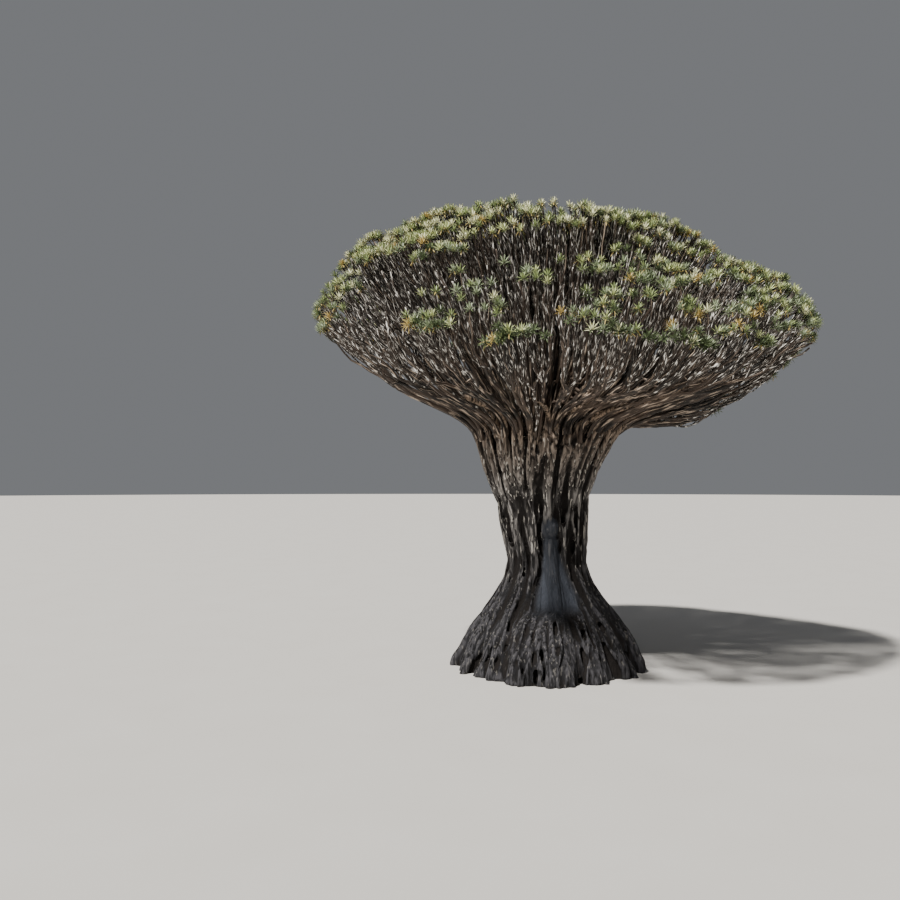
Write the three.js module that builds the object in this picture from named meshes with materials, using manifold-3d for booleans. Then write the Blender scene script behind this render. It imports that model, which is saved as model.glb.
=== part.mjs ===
// A dragon blood tree at its full size: a fluted trunk on a flared foot, boughs that fan out of its head, and a
// crown of masses. Each mass is one stem that forks again and again up to rosettes of sword leaves.
// Millimetres, +Z up. The origin is the middle of the flat cut under the trunk, and -Y is the tree's front.

import * as THREE from 'three';
import { mergeVertices } from 'three/addons/utils/BufferGeometryUtils.js';
import Module from 'manifold-3d';

const wasm = await Module();
wasm.setup();

const { smoothstep, lerp, clamp, degToRad } = THREE.MathUtils;

// Trunk: the foot spreads over the lowest stretch, the waist is the narrowest place, and the head opens again
const FOOT_RADIUS = 3350;
const WAIST_RADIUS = 1340;
const WAIST_HEIGHT = 3900;
const HEAD_RADIUS = 1750;
const HEAD_HEIGHT = 6400;
const CLOSING_HEIGHT = 6500;
const BODY_TOP = 7200;
const BODY_TOP_SHARE = 0.7;
const TRUNK_LEAN = 250;
const FLUTES = 16;
const FOOT_FLUTE_DEPTH = 140;
const HEAD_FLUTE_DEPTH = 75;
const TRUNK_SIDES = 64;
const TRUNK_ROWS = 14;

// Forms of the trunk's skin around a direction, out or in, at their full depth between the inner two heights
const TRUNK_FORMS = [
  { name: 'left cleft', direction: -101, halfWidth: 8, heights: [3700, 4300, 6700, 7300], out: -500 },
  { name: 'right cleft', direction: -70.5, halfWidth: 8, heights: [4400, 5000, 6900, 7500], out: -500 },
  { name: 'mound of roots', direction: -100, halfWidth: 40, heights: [-1000, -500, 1300, 2500], out: 330 },
  { name: 'smooth root', direction: -87, halfWidth: 15, heights: [1800, 2400, 3200, 5200], out: 230 },
];

// Crown: a dome of rosettes over the fan of boughs, whose underside widens from the head to the rim. Up to the
// neck's end it spreads less.
const CROWN_RADIUS = 9150;
const RIM_HEIGHT = 12850;
const DOME_RISE = 3100;
const DOME_ROUNDNESS = 2.55;
const DOME_FULLNESS = 0.53;
const CROWN_SHIFT = 400;
const FAN_CURVE = 1.32;
const NECK_SPREAD = 0.5;
const NECK_START = 0.3;
const NECK_END = 0.56;
const FAN_OPEN_HEIGHT = 10500;

// Where the crown hangs below its even dome, or rises over it. Each lobe is strongest in one direction, and
// comes in between two shares of the crown's radius.
const LOBES = [
  { side: 'front', direction: -90, drop: 2000, sharpness: 1.3, start: 0.5, end: 0.7 },
  { side: 'back right', direction: 42, drop: 2600, sharpness: 4, start: 0.55, end: 0.95 },
  { side: 'right', direction: -6, drop: 270, sharpness: 0.7, start: 0.42, end: 0.58 },
  { side: 'left', direction: 180, drop: -710, sharpness: 1, start: 0.2, end: 0.6 },
  { side: 'left rim', direction: 180, drop: 800, sharpness: 1, start: 0.75, end: 1.0 },
];
const DROP_START_HEIGHT = 8100;
const DROP_END_HEIGHT = 12500;

// Rings of boughs and masses, from the rim inwards: each ring's share of the crown's radius and its count
const RINGS = [
  { name: 'rim', inner: 0.76, outer: 1.0, share: 0.97, count: 12, turn: 0.25, boughRadius: 235 },
  { name: 'shoulder', inner: 0.5, outer: 0.76, share: 0.65, count: 10, turn: 0.0, boughRadius: 225 },
  { name: 'upper', inner: 0.24, outer: 0.5, share: 0.38, count: 6, turn: 0.4, boughRadius: 215 },
  { name: 'top', inner: 0.0, outer: 0.24, share: 0.0, count: 1, turn: 0.0, boughRadius: 210 },
];
const STUB_START_HEIGHT = 4300;
const STUB_START_SHARE = 0.78;
const STUB_THICKENING = 1.2;
const BOUGH_START_HEIGHT = 7500;
const BOUGH_END_HEIGHT = 8800;
const BOUGH_TIP_SHARE = 0.62;
const BOUGH_SIDES = 6;
const BOUGH_ROWS = 3;
const STUB_ROWS = 3;

// Twigs and rosettes
const TIP_COUNT = 270;
const TWIG_RADIUS = 42;
const TWIG_THICKENING = 0.36;
const FORK_SWELLING = 1.25;
const LEAVES = 8;
const LOW_LEAF = { length: 640, rise: 0.12 };
const HIGH_LEAF = { length: 560, rise: 0.85 };
const LEAF_SHARES = [1, 0.88, 0.76, 0.64, 0.52];
const SKIPPED = 0.25;
const LEAF_GAP_RADIUS = 150;
const ROSETTE_TOP = 90;
const ROSETTE_FOOT = 90;
const ROSETTE_UPTURN = 0.35;
const TIP_DEPTH = 330;
const RIM_PUSH = 0.035;
const FORK_OUTWARD = 0.12;

// How finely places are worked out
const DOME_SAMPLES = 14000;
const SETTLING_ROUNDS = 30;
const SOLVING_STEPS = 24;
const HIGHEST_RISE = 1500;
const DEEPEST_DROP = 4500;
const STEP_ALONG = 10;

// Clearances
const JOINT_GAP = 0.3;
const SPACE_MARGIN = 45;
const LEAF_CLEARANCE = 25;
const SEED = 7;

const UP = new THREE.Vector3(0, 0, 1);
const GOLDEN_ANGLE = Math.PI * (3 - Math.sqrt(5));

// Returns a function that gives evenly spread numbers from 0 to 1, the same ones for the same seed.
function randomFrom(seed) {
  let state = seed * 2654435761;
  return () => {
    state = (state + 0x6d2b79f5) | 0;
    let t = Math.imul(state ^ (state >>> 15), 1 | state);
    t = (t + Math.imul(t ^ (t >>> 7), 61 | t)) ^ t;
    return ((t ^ (t >>> 14)) >>> 0) / 4294967296;
  };
}

// Radius of the trunk up to its head, and above it of the fan's underside.
function fanRadius(height) {
  const foot = (FOOT_RADIUS - WAIST_RADIUS) * (1 - smoothstep(height, 0, WAIST_HEIGHT));
  const widening = clamp((height - WAIST_HEIGHT) / (HEAD_HEIGHT - WAIST_HEIGHT), 0, 1);
  const above = Math.max(0, height - HEAD_HEIGHT) / (RIM_HEIGHT - HEAD_HEIGHT);
  const spread = above ** FAN_CURVE * lerp(NECK_SPREAD, 1, smoothstep(above, NECK_START, NECK_END));
  return WAIST_RADIUS + foot + (HEAD_RADIUS - WAIST_RADIUS) * widening + (CROWN_RADIUS - HEAD_RADIUS) * spread;
}

// Height of the crown's dome at a share of its radius, before its lobes.
function domeHeight(share) {
  return RIM_HEIGHT + DOME_RISE * (1 - Math.min(share, 1) ** DOME_ROUNDNESS) ** DOME_FULLNESS;
}

// Share of the fan's radius at which a bough runs that ends at this share of the crown's radius.
function fanShare(share, height) {
  const open = smoothstep(height, BOUGH_START_HEIGHT, FAN_OPEN_HEIGHT);
  const spread = (CROWN_RADIUS * share) / fanRadius(domeHeight(share));
  return lerp(share, spread, open);
}

// How far the crown hangs below its even dome, in a direction and at a share of its radius.
function crownDrop(angle, share) {
  return LOBES.reduce((sum, lobe) => {
    const facing = Math.max(0, Math.cos(angle - degToRad(lobe.direction)));
    return sum + lobe.drop * facing ** lobe.sharpness * smoothstep(share, lobe.start, lobe.end);
  }, 0);
}

function dropRamp(height) {
  return smoothstep(height, DROP_START_HEIGHT, DROP_END_HEIGHT);
}

// The trunk leans to the left up to its head, and the crown's middle is to the right of its foot.
function sideways(height) {
  const lean = -TRUNK_LEAN * smoothstep(height, WAIST_HEIGHT / 2, HEAD_HEIGHT);
  return lean + (CROWN_SHIFT + TRUNK_LEAN) * smoothstep(height, HEAD_HEIGHT, DROP_END_HEIGHT);
}

// The point of the fan at a share of the crown's radius, a direction, and a height before any drop.
function fanPoint(share, angle, height) {
  const radius = fanRadius(height) * fanShare(share, height);
  return new THREE.Vector3(
    radius * Math.cos(angle) + sideways(height),
    radius * Math.sin(angle),
    height - crownDrop(angle, share) * dropRamp(height),
  );
}

// The number between two ends at which a rising function reaches a value.
function solveRising(rising, value, low, high) {
  for (let step = 0; step < SOLVING_STEPS; step++) {
    const middle = (low + high) / 2;
    if (rising(middle) < value) low = middle;
    else high = middle;
  }
  return low;
}

// The place in the fan of a point that has this height before any drop.
function placeAtHeight(point, height) {
  const x = point.x - sideways(height);
  const radius = Math.hypot(x, point.y);
  const wanted = radius / fanRadius(height);
  const share = solveRising((s) => fanShare(Math.min(s, 1), height) * Math.max(s, 1), wanted, 0, 1.5);
  return { share, radius, height, angle: Math.atan2(point.y, x) };
}

// The place of a point in the fan, from its share of the crown's radius, its direction and its distance from the
// axis.
function placeInFan(point) {
  const heightOf = (height) => {
    const { angle, share } = placeAtHeight(point, height);
    return height - crownDrop(angle, share) * dropRamp(height);
  };
  return placeAtHeight(point, solveRising(heightOf, point.z, point.z - HIGHEST_RISE, point.z + DEEPEST_DROP));
}

// Whether a point is inside a mass's own space, clear of its neighbours' spaces.
function isInside(space, point) {
  const place = placeInFan(point);
  const scale = fanRadius(place.height);
  const innerRadius = scale * fanShare(space.inner, place.height);
  const outerRadius = scale * fanShare(space.outer, place.height);
  if (space.inner > 0 && place.radius < innerRadius + SPACE_MARGIN) return false;
  if (space.outer < 1 && place.radius > outerRadius - SPACE_MARGIN) return false;
  if (space.halfAngle >= Math.PI) return true;
  const turned = Math.atan2(Math.sin(place.angle - space.angle), Math.cos(place.angle - space.angle));
  const toSide = place.radius * Math.sin(Math.min(space.halfAngle - Math.abs(turned), Math.PI / 2));
  return toSide > SPACE_MARGIN;
}

// A geometry as a solid: only the places of its corners are kept, and shared corners are merged.
function solidOf(geometry) {
  const bare = geometry.clone();
  bare.deleteAttribute('normal');
  bare.deleteAttribute('uv');
  const merged = mergeVertices(bare, 1e-3);
  return new wasm.Manifold(
    new wasm.Mesh({
      numProp: 3,
      vertProperties: new Float32Array(merged.attributes.position.array),
      triVerts: new Uint32Array(merged.index.array),
    }),
  );
}

function geometryOf(solid) {
  const mesh = solid.getMesh();
  const geometry = new THREE.BufferGeometry();
  geometry.setAttribute('position', new THREE.BufferAttribute(mesh.vertProperties, 3));
  geometry.setIndex(new THREE.BufferAttribute(mesh.triVerts, 1));
  geometry.computeVertexNormals();
  return geometry;
}

// A limb: a cylinder whose rows are moved to the stations, each with a centre, a direction and a radius.
function limbGeometry(stations, sides) {
  const rows = stations.length - 1;
  const geometry = new THREE.CylinderGeometry(1, 1, 1, sides, rows);
  const position = geometry.attributes.position;
  for (let i = 0; i < position.count; i++) {
    const { centre, direction, radius } = stations[Math.round((position.getY(i) + 0.5) * rows)];
    const across = new THREE.Vector3(0, 1, 0).cross(direction).normalize();
    const along = direction.clone().cross(across);
    const corner = centre
      .clone()
      .addScaledVector(along, position.getX(i) * radius)
      .addScaledVector(across, position.getZ(i) * radius);
    position.setXYZ(i, corner.x, corner.y, corner.z);
  }
  return geometry;
}

// The direction in which the fan's line through a space's middle runs at a height.
function fanDirection(space, height) {
  const above = fanPoint(space.share, space.angle, height + STEP_ALONG);
  return above.sub(fanPoint(space.share, space.angle, height - STEP_ALONG)).normalize();
}

// The trunk's own radius, which closes in over the head, among the stubs of the boughs.
function trunkRadius(height) {
  return fanRadius(height) * lerp(1, BODY_TOP_SHARE, smoothstep(height, CLOSING_HEIGHT, BODY_TOP));
}

// Flutes run up the trunk, one of them facing the front.
function fluting(angle, height) {
  const depth = lerp(FOOT_FLUTE_DEPTH, HEAD_FLUTE_DEPTH, smoothstep(height, 0, WAIST_HEIGHT));
  return depth * Math.cos(FLUTES * (angle + Math.PI / 2));
}

// How far the trunk's skin stands out in a direction and at a height, or in where it is cleft.
function trunkRelief(angle, height) {
  let out = fluting(angle, height);
  for (const form of TRUNK_FORMS) {
    const turned = angle - degToRad(form.direction);
    const away = Math.abs(Math.atan2(Math.sin(turned), Math.cos(turned))) / degToRad(form.halfWidth);
    const [low, lowFull, highFull, high] = form.heights;
    const along = smoothstep(height, low, lowFull) * (1 - smoothstep(height, highFull, high));
    out += form.out * along * (1 - smoothstep(away, 0, 1));
  }
  return out;
}

// The trunk's body, and one stub for each bough, which comes out of its side or its head.
function trunkSolid(spaces) {
  const geometry = new THREE.CylinderGeometry(1, 1, 1, TRUNK_SIDES, TRUNK_ROWS);
  const position = geometry.attributes.position;
  for (let i = 0; i < position.count; i++) {
    const height = (position.getY(i) + 0.5) * BODY_TOP;
    const angle = Math.atan2(position.getX(i), position.getZ(i));
    const isCapCentre = Math.hypot(position.getX(i), position.getZ(i)) < 0.5;
    const radius = isCapCentre ? 0 : trunkRadius(height) + trunkRelief(angle, height);
    position.setXYZ(i, radius * Math.cos(angle) + sideways(height), radius * Math.sin(angle), height);
  }
  return spaces.reduce((trunk, space) => trunk.add(solidOf(stubGeometry(space))), solidOf(geometry));
}

function stubGeometry(space) {
  const stations = [];
  for (let row = 0; row <= STUB_ROWS; row++) {
    const along = row / STUB_ROWS;
    const height = lerp(STUB_START_HEIGHT, BOUGH_START_HEIGHT, along);
    const share = space.share * lerp(STUB_START_SHARE, 1, along);
    const centre = fanPoint(share, space.angle, height);
    const radius = space.boughRadius * lerp(STUB_THICKENING, 1, along);
    stations.push({ centre, direction: fanDirection(space, height), radius });
  }
  return limbGeometry(stations, BOUGH_SIDES);
}

// A bough runs from its stub, a joint's gap clear of it, to the foot of its mass's stem, which it faces.
function boughGeometry(space, stemDirection) {
  const stations = [];
  for (let row = 0; row <= BOUGH_ROWS; row++) {
    const along = row / BOUGH_ROWS;
    const height = lerp(BOUGH_START_HEIGHT, BOUGH_END_HEIGHT, along);
    const centre = fanPoint(space.share, space.angle, height);
    const radius = space.boughRadius * lerp(1, BOUGH_TIP_SHARE, along);
    stations.push({ centre, direction: fanDirection(space, height), radius });
  }
  stations[0].centre.addScaledVector(stations[0].direction, JOINT_GAP);
  stations[BOUGH_ROWS].direction = stemDirection;
  return limbGeometry(stations, BOUGH_SIDES);
}

function ringAngle(ring, index) {
  return ((index + ring.turn) / ring.count) * Math.PI * 2 - Math.PI / 2;
}

// Every mass's space: a ring's stretch between two shares of the crown's radius and two directions.
function makeSpaces() {
  const spaces = [];
  for (const ring of RINGS) {
    for (let index = 0; index < ring.count; index++) {
      const label = ring.count > 1 ? '_' + String(index + 1).padStart(2, '0') : '';
      spaces.push({
        ...ring,
        label,
        angle: ringAngle(ring, index),
        halfAngle: ring.count > 1 ? Math.PI / ring.count : Math.PI,
      });
    }
  }
  return spaces;
}

// Even points over the whole dome, each with the area it stands for, dealt out to the spaces they fall in.
function spreadOverDome(spaces, count) {
  for (const space of spaces) space.samples = [];
  for (let k = 0; k < count; k++) {
    const share = Math.sqrt((k + 0.5) / count);
    const angle = k * GOLDEN_ANGLE;
    const slope = (domeHeight(share - 0.005) - domeHeight(share + 0.005)) / (0.01 * CROWN_RADIUS);
    const weight = Math.hypot(1, Math.min(slope, 2));
    const space = spaces.find((s) => {
      const turned = Math.atan2(Math.sin(angle - s.angle), Math.cos(angle - s.angle));
      return share >= s.inner && share < s.outer && Math.abs(turned) <= s.halfAngle;
    });
    if (space) space.samples.push({ a: share * Math.cos(angle), b: share * Math.sin(angle), weight });
  }
}

// Rosette places in a space: the middles of even patches of its dome, found by moving them until they settle.
function rosettePlaces(space, count, random) {
  const samples = space.samples;
  let places = Array.from({ length: count }, () => samples[Math.floor(random() * samples.length)]);
  for (let round = 0; round < SETTLING_ROUNDS; round++) {
    const sums = places.map(() => ({ a: 0, b: 0, weight: 1e-9 }));
    for (const sample of samples) {
      let nearest = 0;
      let least = Infinity;
      places.forEach((place, i) => {
        const distance = (place.a - sample.a) ** 2 + (place.b - sample.b) ** 2;
        if (distance < least) [nearest, least] = [i, distance];
      });
      sums[nearest].a += sample.a * sample.weight;
      sums[nearest].b += sample.b * sample.weight;
      sums[nearest].weight += sample.weight;
    }
    places = sums.map((sum, i) =>
      sum.weight < 1e-6 ? places[i] : { a: sum.a / sum.weight, b: sum.b / sum.weight },
    );
  }
  return places.map(towardsRim);
}

// A place moved outwards near the rim, so that the outermost rosettes stand on it.
function towardsRim(place) {
  const push = 1 + RIM_PUSH * Math.hypot(place.a, place.b) ** 6;
  return { a: place.a * push, b: place.b * push };
}

// The point of the fan under a place of the crown, a part of the way up from the boughs' tips to the dome.
function crownPoint(place, upward) {
  const share = Math.min(Math.hypot(place.a, place.b), 1);
  const height = lerp(BOUGH_END_HEIGHT, domeHeight(share) - TIP_DEPTH, upward);
  return fanPoint(share * (1 + FORK_OUTWARD * (1 - upward)), Math.atan2(place.b, place.a), height);
}

function meanPlace(places) {
  const sum = places.reduce((s, p) => ({ a: s.a + p.a, b: s.b + p.b }), { a: 0, b: 0 });
  return { a: sum.a / places.length, b: sum.b / places.length };
}

// Two halves of some places, parted across the direction in which they spread most.
function partPlaces(places) {
  const mean = meanPlace(places);
  let [aa, ab, bb] = [0, 0, 0];
  for (const p of places) {
    aa += (p.a - mean.a) ** 2;
    ab += (p.a - mean.a) * (p.b - mean.b);
    bb += (p.b - mean.b) ** 2;
  }
  const widest = 0.5 * Math.atan2(2 * ab, aa - bb);
  const along = (p) => p.a * Math.cos(widest) + p.b * Math.sin(widest);
  const sorted = [...places].sort((p, q) => along(p) - along(q));
  const half = Math.ceil(places.length / 2);
  return [sorted.slice(0, half), sorted.slice(half)];
}

// How far up a stretch of twig ends that carries some of a mass's rosettes: fewer rosettes, further up.
function forkHeight(carried, all) {
  return carried === 1 ? 1 : 1 - Math.log2(2 * carried) / Math.log2(4 * all);
}

function twigRadius(carried) {
  return TWIG_RADIUS * carried ** TWIG_THICKENING;
}

// Stretches of twig that fork from one place up to all the rosettes they carry, as a tree of stretches.
function growTwigs(from, places, all) {
  const to = crownPoint(meanPlace(places), forkHeight(places.length, all));
  const twig = { from, to, carried: places.length, children: [] };
  if (places.length > 1) twig.children = partPlaces(places).map((half) => growTwigs(to, half, all));
  return twig;
}

function allTwigs(twig) {
  return [twig, ...twig.children.flatMap(allTwigs)];
}

// Whether a leaf from its rosette's centre to its point keeps to its rosette's side of every other rosette,
// and clear of every other twig.
function leafIsFree(point, own, twigs) {
  for (const other of twigs) {
    if (other === own) continue;
    if (other.carried === 1) {
      const between = other.to.clone().sub(own.to);
      const past = point.clone().sub(own.to).dot(between) / between.length();
      if (past > between.length() / 2 - LEAF_CLEARANCE) return false;
    }
    if (own.from === other.to) continue;
    const line = new THREE.Line3(other.from, other.to);
    for (const share of [1, 0.75, 0.5, 0.25]) {
      const onLeaf = own.to.clone().lerp(point, share);
      const nearest = line.closestPointToPoint(onLeaf, true, new THREE.Vector3());
      if (nearest.distanceTo(onLeaf) < twigRadius(other.carried) + LEAF_CLEARANCE) return false;
    }
  }
  return true;
}

// The mesh of a mass: tubes of three sides that share their rings where they fork, and a rosette on every end.
class MassMesh {
  constructor(space, twigs, random) {
    this.space = space;
    this.twigs = twigs;
    this.random = random;
    this.corners = [];
    this.faces = [];
  }

  addCorner(point) {
    this.corners.push(point.x, point.y, point.z);
    return { index: this.corners.length / 3 - 1, point };
  }

  addFace(a, b, c) {
    this.faces.push(a.index, b.index, c.index);
  }

  // A ring of three corners round a centre, the first of them at an angle in the plane across a direction.
  addRing(centre, plane, radius, angle) {
    return [0, 1, 2].map((i) => {
      const turned = angle + (i * Math.PI * 2) / 3;
      const out = plane.x.clone().multiplyScalar(Math.cos(turned)).addScaledVector(plane.y, Math.sin(turned));
      return this.addCorner(out.multiplyScalar(radius).add(centre));
    });
  }

  // A tube between two rings, with its diagonals laid so that it stays full where it twists.
  addTube(start, end, twist) {
    for (let i = 0; i < 3; i++) {
      const [a0, a1, b0, b1] = [start[i], start[(i + 1) % 3], end[i], end[(i + 1) % 3]];
      if (twist > 0) {
        this.addFace(a0, a1, b0);
        this.addFace(b0, a1, b1);
      } else {
        this.addFace(a0, a1, b1);
        this.addFace(a0, b1, b0);
      }
    }
  }

  // A stretch of twig from the ring it starts on, and all that grows from it.
  addTwig(twig, start) {
    const direction = twig.to.clone().sub(twig.from).normalize();
    const plane = planeAcross(direction);
    const level = averageTurn(start, plane);
    const isTip = twig.children.length === 0;
    const wanted = isTip ? level : this.forkTurn(twig, plane);
    const twist = nearestTurn(wanted - level);
    const radius = isTip ? TWIG_RADIUS : twigRadius(twig.carried) * FORK_SWELLING;
    const centre = isTip ? twig.to.clone().addScaledVector(direction, -ROSETTE_FOOT) : twig.to;
    const end = this.addRing(centre, plane, radius, level + twist);
    this.addTube(start, end, twist);
    if (isTip) this.addRosette(twig, end, plane, direction);
    else this.addFork(twig, end);
  }

  // The turn of a fork's ring that puts its closed side square to the way its two twigs part.
  forkTurn(twig, plane) {
    const [first, second] = twig.children;
    const parting = first.to.clone().sub(second.to);
    return Math.atan2(parting.dot(plane.y), parting.dot(plane.x)) + Math.PI / 2 - Math.PI / 3;
  }

  // A fork closes one side of its ring, and starts each of its two twigs on another.
  addFork(twig, ring) {
    const middle = this.addCorner(twig.to.clone());
    const sides = [0, 1, 2].map((i) => ({ start: [ring[i], ring[(i + 1) % 3], middle] }));
    const outOf = ({ start }) => start[0].point.clone().add(start[1].point).multiplyScalar(0.5).sub(twig.to);
    const away = twig.children.map((child) => child.to.clone().sub(twig.to).normalize());
    let best = null;
    for (const one of sides) {
      for (const two of sides) {
        if (one === two) continue;
        const fit = outOf(one).dot(away[0]) + outOf(two).dot(away[1]);
        if (!best || fit > best.fit) best = { one, two, fit };
      }
    }
    const closed = sides.find((side) => side !== best.one && side !== best.two);
    this.addFace(...closed.start);
    this.addTwig(twig.children[0], best.one.start);
    this.addTwig(twig.children[1], best.two.start);
  }

  // A rosette: a spiked star of sword leaves, low and high by turns. Its underside closes on the twig's ring.
  addRosette(twig, ring, plane, direction) {
    const axis = direction.clone().lerp(UP, ROSETTE_UPTURN).normalize();
    const across = plane.x.clone().addScaledVector(axis, -plane.x.dot(axis)).normalize();
    const beside = axis.clone().cross(across);
    const top = this.addCorner(twig.to.clone().addScaledVector(axis, ROSETTE_TOP));
    const turn = this.random() * Math.PI;
    const at = (angle, reach, rise) =>
      twig.to
        .clone()
        .addScaledVector(across, Math.cos(angle) * Math.cos(rise) * reach)
        .addScaledVector(beside, Math.sin(angle) * Math.cos(rise) * reach)
        .addScaledVector(axis, Math.sin(rise) * reach);
    const star = [];
    for (let i = 0; i < LEAVES; i++) {
      const leaf = i % 2 ? HIGH_LEAF : LOW_LEAF;
      const angle = turn + (i / LEAVES) * Math.PI * 2;
      const reach = LEAF_SHARES.find((share) => {
        const point = at(angle, leaf.length * share, leaf.rise);
        return isInside(this.space, point) && leafIsFree(point, twig, this.twigs);
      });
      star.push({ corner: this.addCorner(at(angle, leaf.length * (reach ?? SKIPPED), leaf.rise)), angle });
      const gap = angle + Math.PI / LEAVES;
      star.push({ corner: this.addCorner(at(gap, LEAF_GAP_RADIUS, LOW_LEAF.rise)), angle: gap });
    }
    const ringAngles = ring.map((r) => {
      const out = r.point.clone().sub(twig.to);
      return Math.atan2(out.dot(beside), out.dot(across));
    });
    const nearest = star.map(({ angle }) => nearestIndex(ringAngles, angle));
    star.forEach(({ corner }, i) => {
      const next = star[(i + 1) % star.length].corner;
      const [here, there] = [nearest[i], nearest[(i + 1) % star.length]];
      this.addFace(top, corner, next);
      this.addFace(ring[here], next, corner);
      if (here !== there) this.addFace(ring[here], ring[there], next);
    });
  }

  geometry() {
    const stem = this.twigs[0];
    const plane = planeAcross(stem.to.clone().sub(stem.from).normalize());
    const foot = this.addRing(stem.from, plane, twigRadius(stem.carried), 0);
    this.addFace(foot[2], foot[1], foot[0]);
    this.addTwig(stem, foot);
    const geometry = new THREE.BufferGeometry();
    geometry.setAttribute('position', new THREE.Float32BufferAttribute(this.corners, 3));
    geometry.setIndex(this.faces);
    geometry.computeVertexNormals();
    return geometry;
  }
}

function planeAcross(direction) {
  const x = new THREE.Vector3(0, 1, 0).cross(direction).normalize();
  return { x, y: direction.clone().cross(x) };
}

// The angle of a ring's first corner in a plane, evened out over its three corners.
function averageTurn(ring, plane) {
  const centre = ring.reduce((sum, r) => sum.add(r.point), new THREE.Vector3()).divideScalar(3);
  let [sine, cosine] = [0, 0];
  ring.forEach(({ point }, i) => {
    const out = point.clone().sub(centre);
    const angle = Math.atan2(out.dot(plane.y), out.dot(plane.x)) - (i * Math.PI * 2) / 3;
    sine += Math.sin(angle);
    cosine += Math.cos(angle);
  });
  return Math.atan2(sine, cosine);
}

// A turn brought to within a sixth of a circle, since a ring of three looks the same every third of one.
function nearestTurn(turn) {
  const third = (Math.PI * 2) / 3;
  return turn - Math.round(turn / third) * third;
}

function nearestIndex(angles, angle) {
  const away = angles.map((a) => 1 - Math.cos(a - angle));
  return away.indexOf(Math.min(...away));
}

function material(color, roughness) {
  return new THREE.MeshStandardMaterial({ color, roughness, metalness: 0 });
}

const trunkBark = material(0x6a615b, 0.95);
const boughBark = material(0x877b72, 0.9);
const foliage = material(0x7d8d60, 0.6);

function addMesh(tree, name, geometry, finish) {
  const mesh = new THREE.Mesh(geometry, finish);
  mesh.name = name;
  tree.add(mesh);
}

function buildTree() {
  const tree = new THREE.Group();
  const random = randomFrom(SEED);
  const spaces = makeSpaces();
  spreadOverDome(spaces, DOME_SAMPLES);
  const areaOf = (space) => space.samples.reduce((sum, s) => sum + s.weight, 0);
  const wholeArea = spaces.reduce((sum, space) => sum + areaOf(space), 0);
  addMesh(tree, 'trunk', geometryOf(trunkSolid(spaces)), trunkBark);
  for (const space of spaces) {
    const places = rosettePlaces(space, Math.round((TIP_COUNT * areaOf(space)) / wholeArea), random);
    const foot = fanPoint(space.share, space.angle, BOUGH_END_HEIGHT);
    const stem = growTwigs(foot, places, places.length);
    const stemDirection = stem.to.clone().sub(foot).normalize();
    addMesh(tree, `${space.name}_bough${space.label}`, boughGeometry(space, stemDirection), boughBark);
    stem.from = foot.clone().addScaledVector(stemDirection, JOINT_GAP);
    const mass = new MassMesh(space, allTwigs(stem), random);
    addMesh(tree, `${space.name}_mass${space.label}`, mass.geometry(), foliage);
  }
  return tree;
}

export default buildTree();
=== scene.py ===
"""A dragon blood tree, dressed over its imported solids.

The trunk is fused out of cords of bark, the boughs fan out of its head, and every mass forks on by one
seeded rule into fine twigs that end in rosettes of sword leaves. Metres, +Z up, the origin at the middle of
the trunk's flat cut, and -Y is the tree's front.
"""
import logging
import math
from dataclasses import dataclass, field
from enum import Enum

import bpy
import numpy as np
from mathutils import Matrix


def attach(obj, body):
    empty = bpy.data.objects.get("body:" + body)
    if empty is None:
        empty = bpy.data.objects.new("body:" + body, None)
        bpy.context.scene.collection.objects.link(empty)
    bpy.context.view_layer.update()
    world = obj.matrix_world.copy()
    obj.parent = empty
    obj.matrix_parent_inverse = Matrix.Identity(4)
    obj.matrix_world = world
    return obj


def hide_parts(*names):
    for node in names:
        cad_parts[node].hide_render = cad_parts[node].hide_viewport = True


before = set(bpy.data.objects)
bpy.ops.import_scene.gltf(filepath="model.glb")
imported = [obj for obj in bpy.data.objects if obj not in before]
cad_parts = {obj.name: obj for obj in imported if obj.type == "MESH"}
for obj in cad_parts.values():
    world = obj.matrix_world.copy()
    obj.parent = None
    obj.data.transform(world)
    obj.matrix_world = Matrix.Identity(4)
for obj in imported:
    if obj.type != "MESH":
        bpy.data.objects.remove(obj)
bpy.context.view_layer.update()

Array = np.ndarray
log = logging.getLogger("tree")
GOLDEN_ANGLE = math.pi * (3.0 - math.sqrt(5.0))
UP = np.array([0.0, 0.0, 1.0])
FRONT = -math.pi / 2.0
LATTICE_PRIMES = np.array([73856093, 19349663, 83492791])
SEED_PRIME = 2654435761
HASH_PRIME = 1274126177
# A sword leaf's corners: two at its foot, three across its middle, two further out, and its point
BLADE_FACES = np.array([[0, 3, 2], [0, 1, 3], [1, 4, 3], [2, 3, 5], [3, 6, 5], [3, 4, 6], [5, 6, 7]])


def smoothstep(value: Array | float, low: float, high: float) -> Array:
    """Eases from 0 to 1.

    Args:
        value: Where to read the ease.
        low: The value up to which it is 0.
        high: The value from which it is 1.

    Returns:
        The eased value, of the same shape.
    """
    t = np.clip((np.asarray(value, float) - low) / (high - low), 0.0, 1.0)
    return t * t * (3.0 - 2.0 * t)


def mix(start: Array | float, end: Array | float, share: Array | float) -> Array:
    """Returns the value a share of the way from start to end."""
    return start + (end - start) * share


def unit(vectors: Array) -> Array:
    """Returns vectors scaled to length 1, along their last axis."""
    return vectors / np.maximum(np.linalg.norm(vectors, axis=-1, keepdims=True), 1e-9)


def turn_from(start: Array | float, angle: Array | float) -> Array:
    """Returns how far an angle is turned from a start, from -pi to pi."""
    return np.angle(np.exp(1j * (np.asarray(angle, float) - start)))


class Noise(Enum):
    """The smooth noises, each with its seed."""

    BARE_PATCHES = 5
    COARSE_RIDGES = 3
    FINE_RIDGES = 11
    CRACKS = 19
    LUMPS = 29
    WANDER_ACROSS = 31
    WANDER_ALONG = 37


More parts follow.
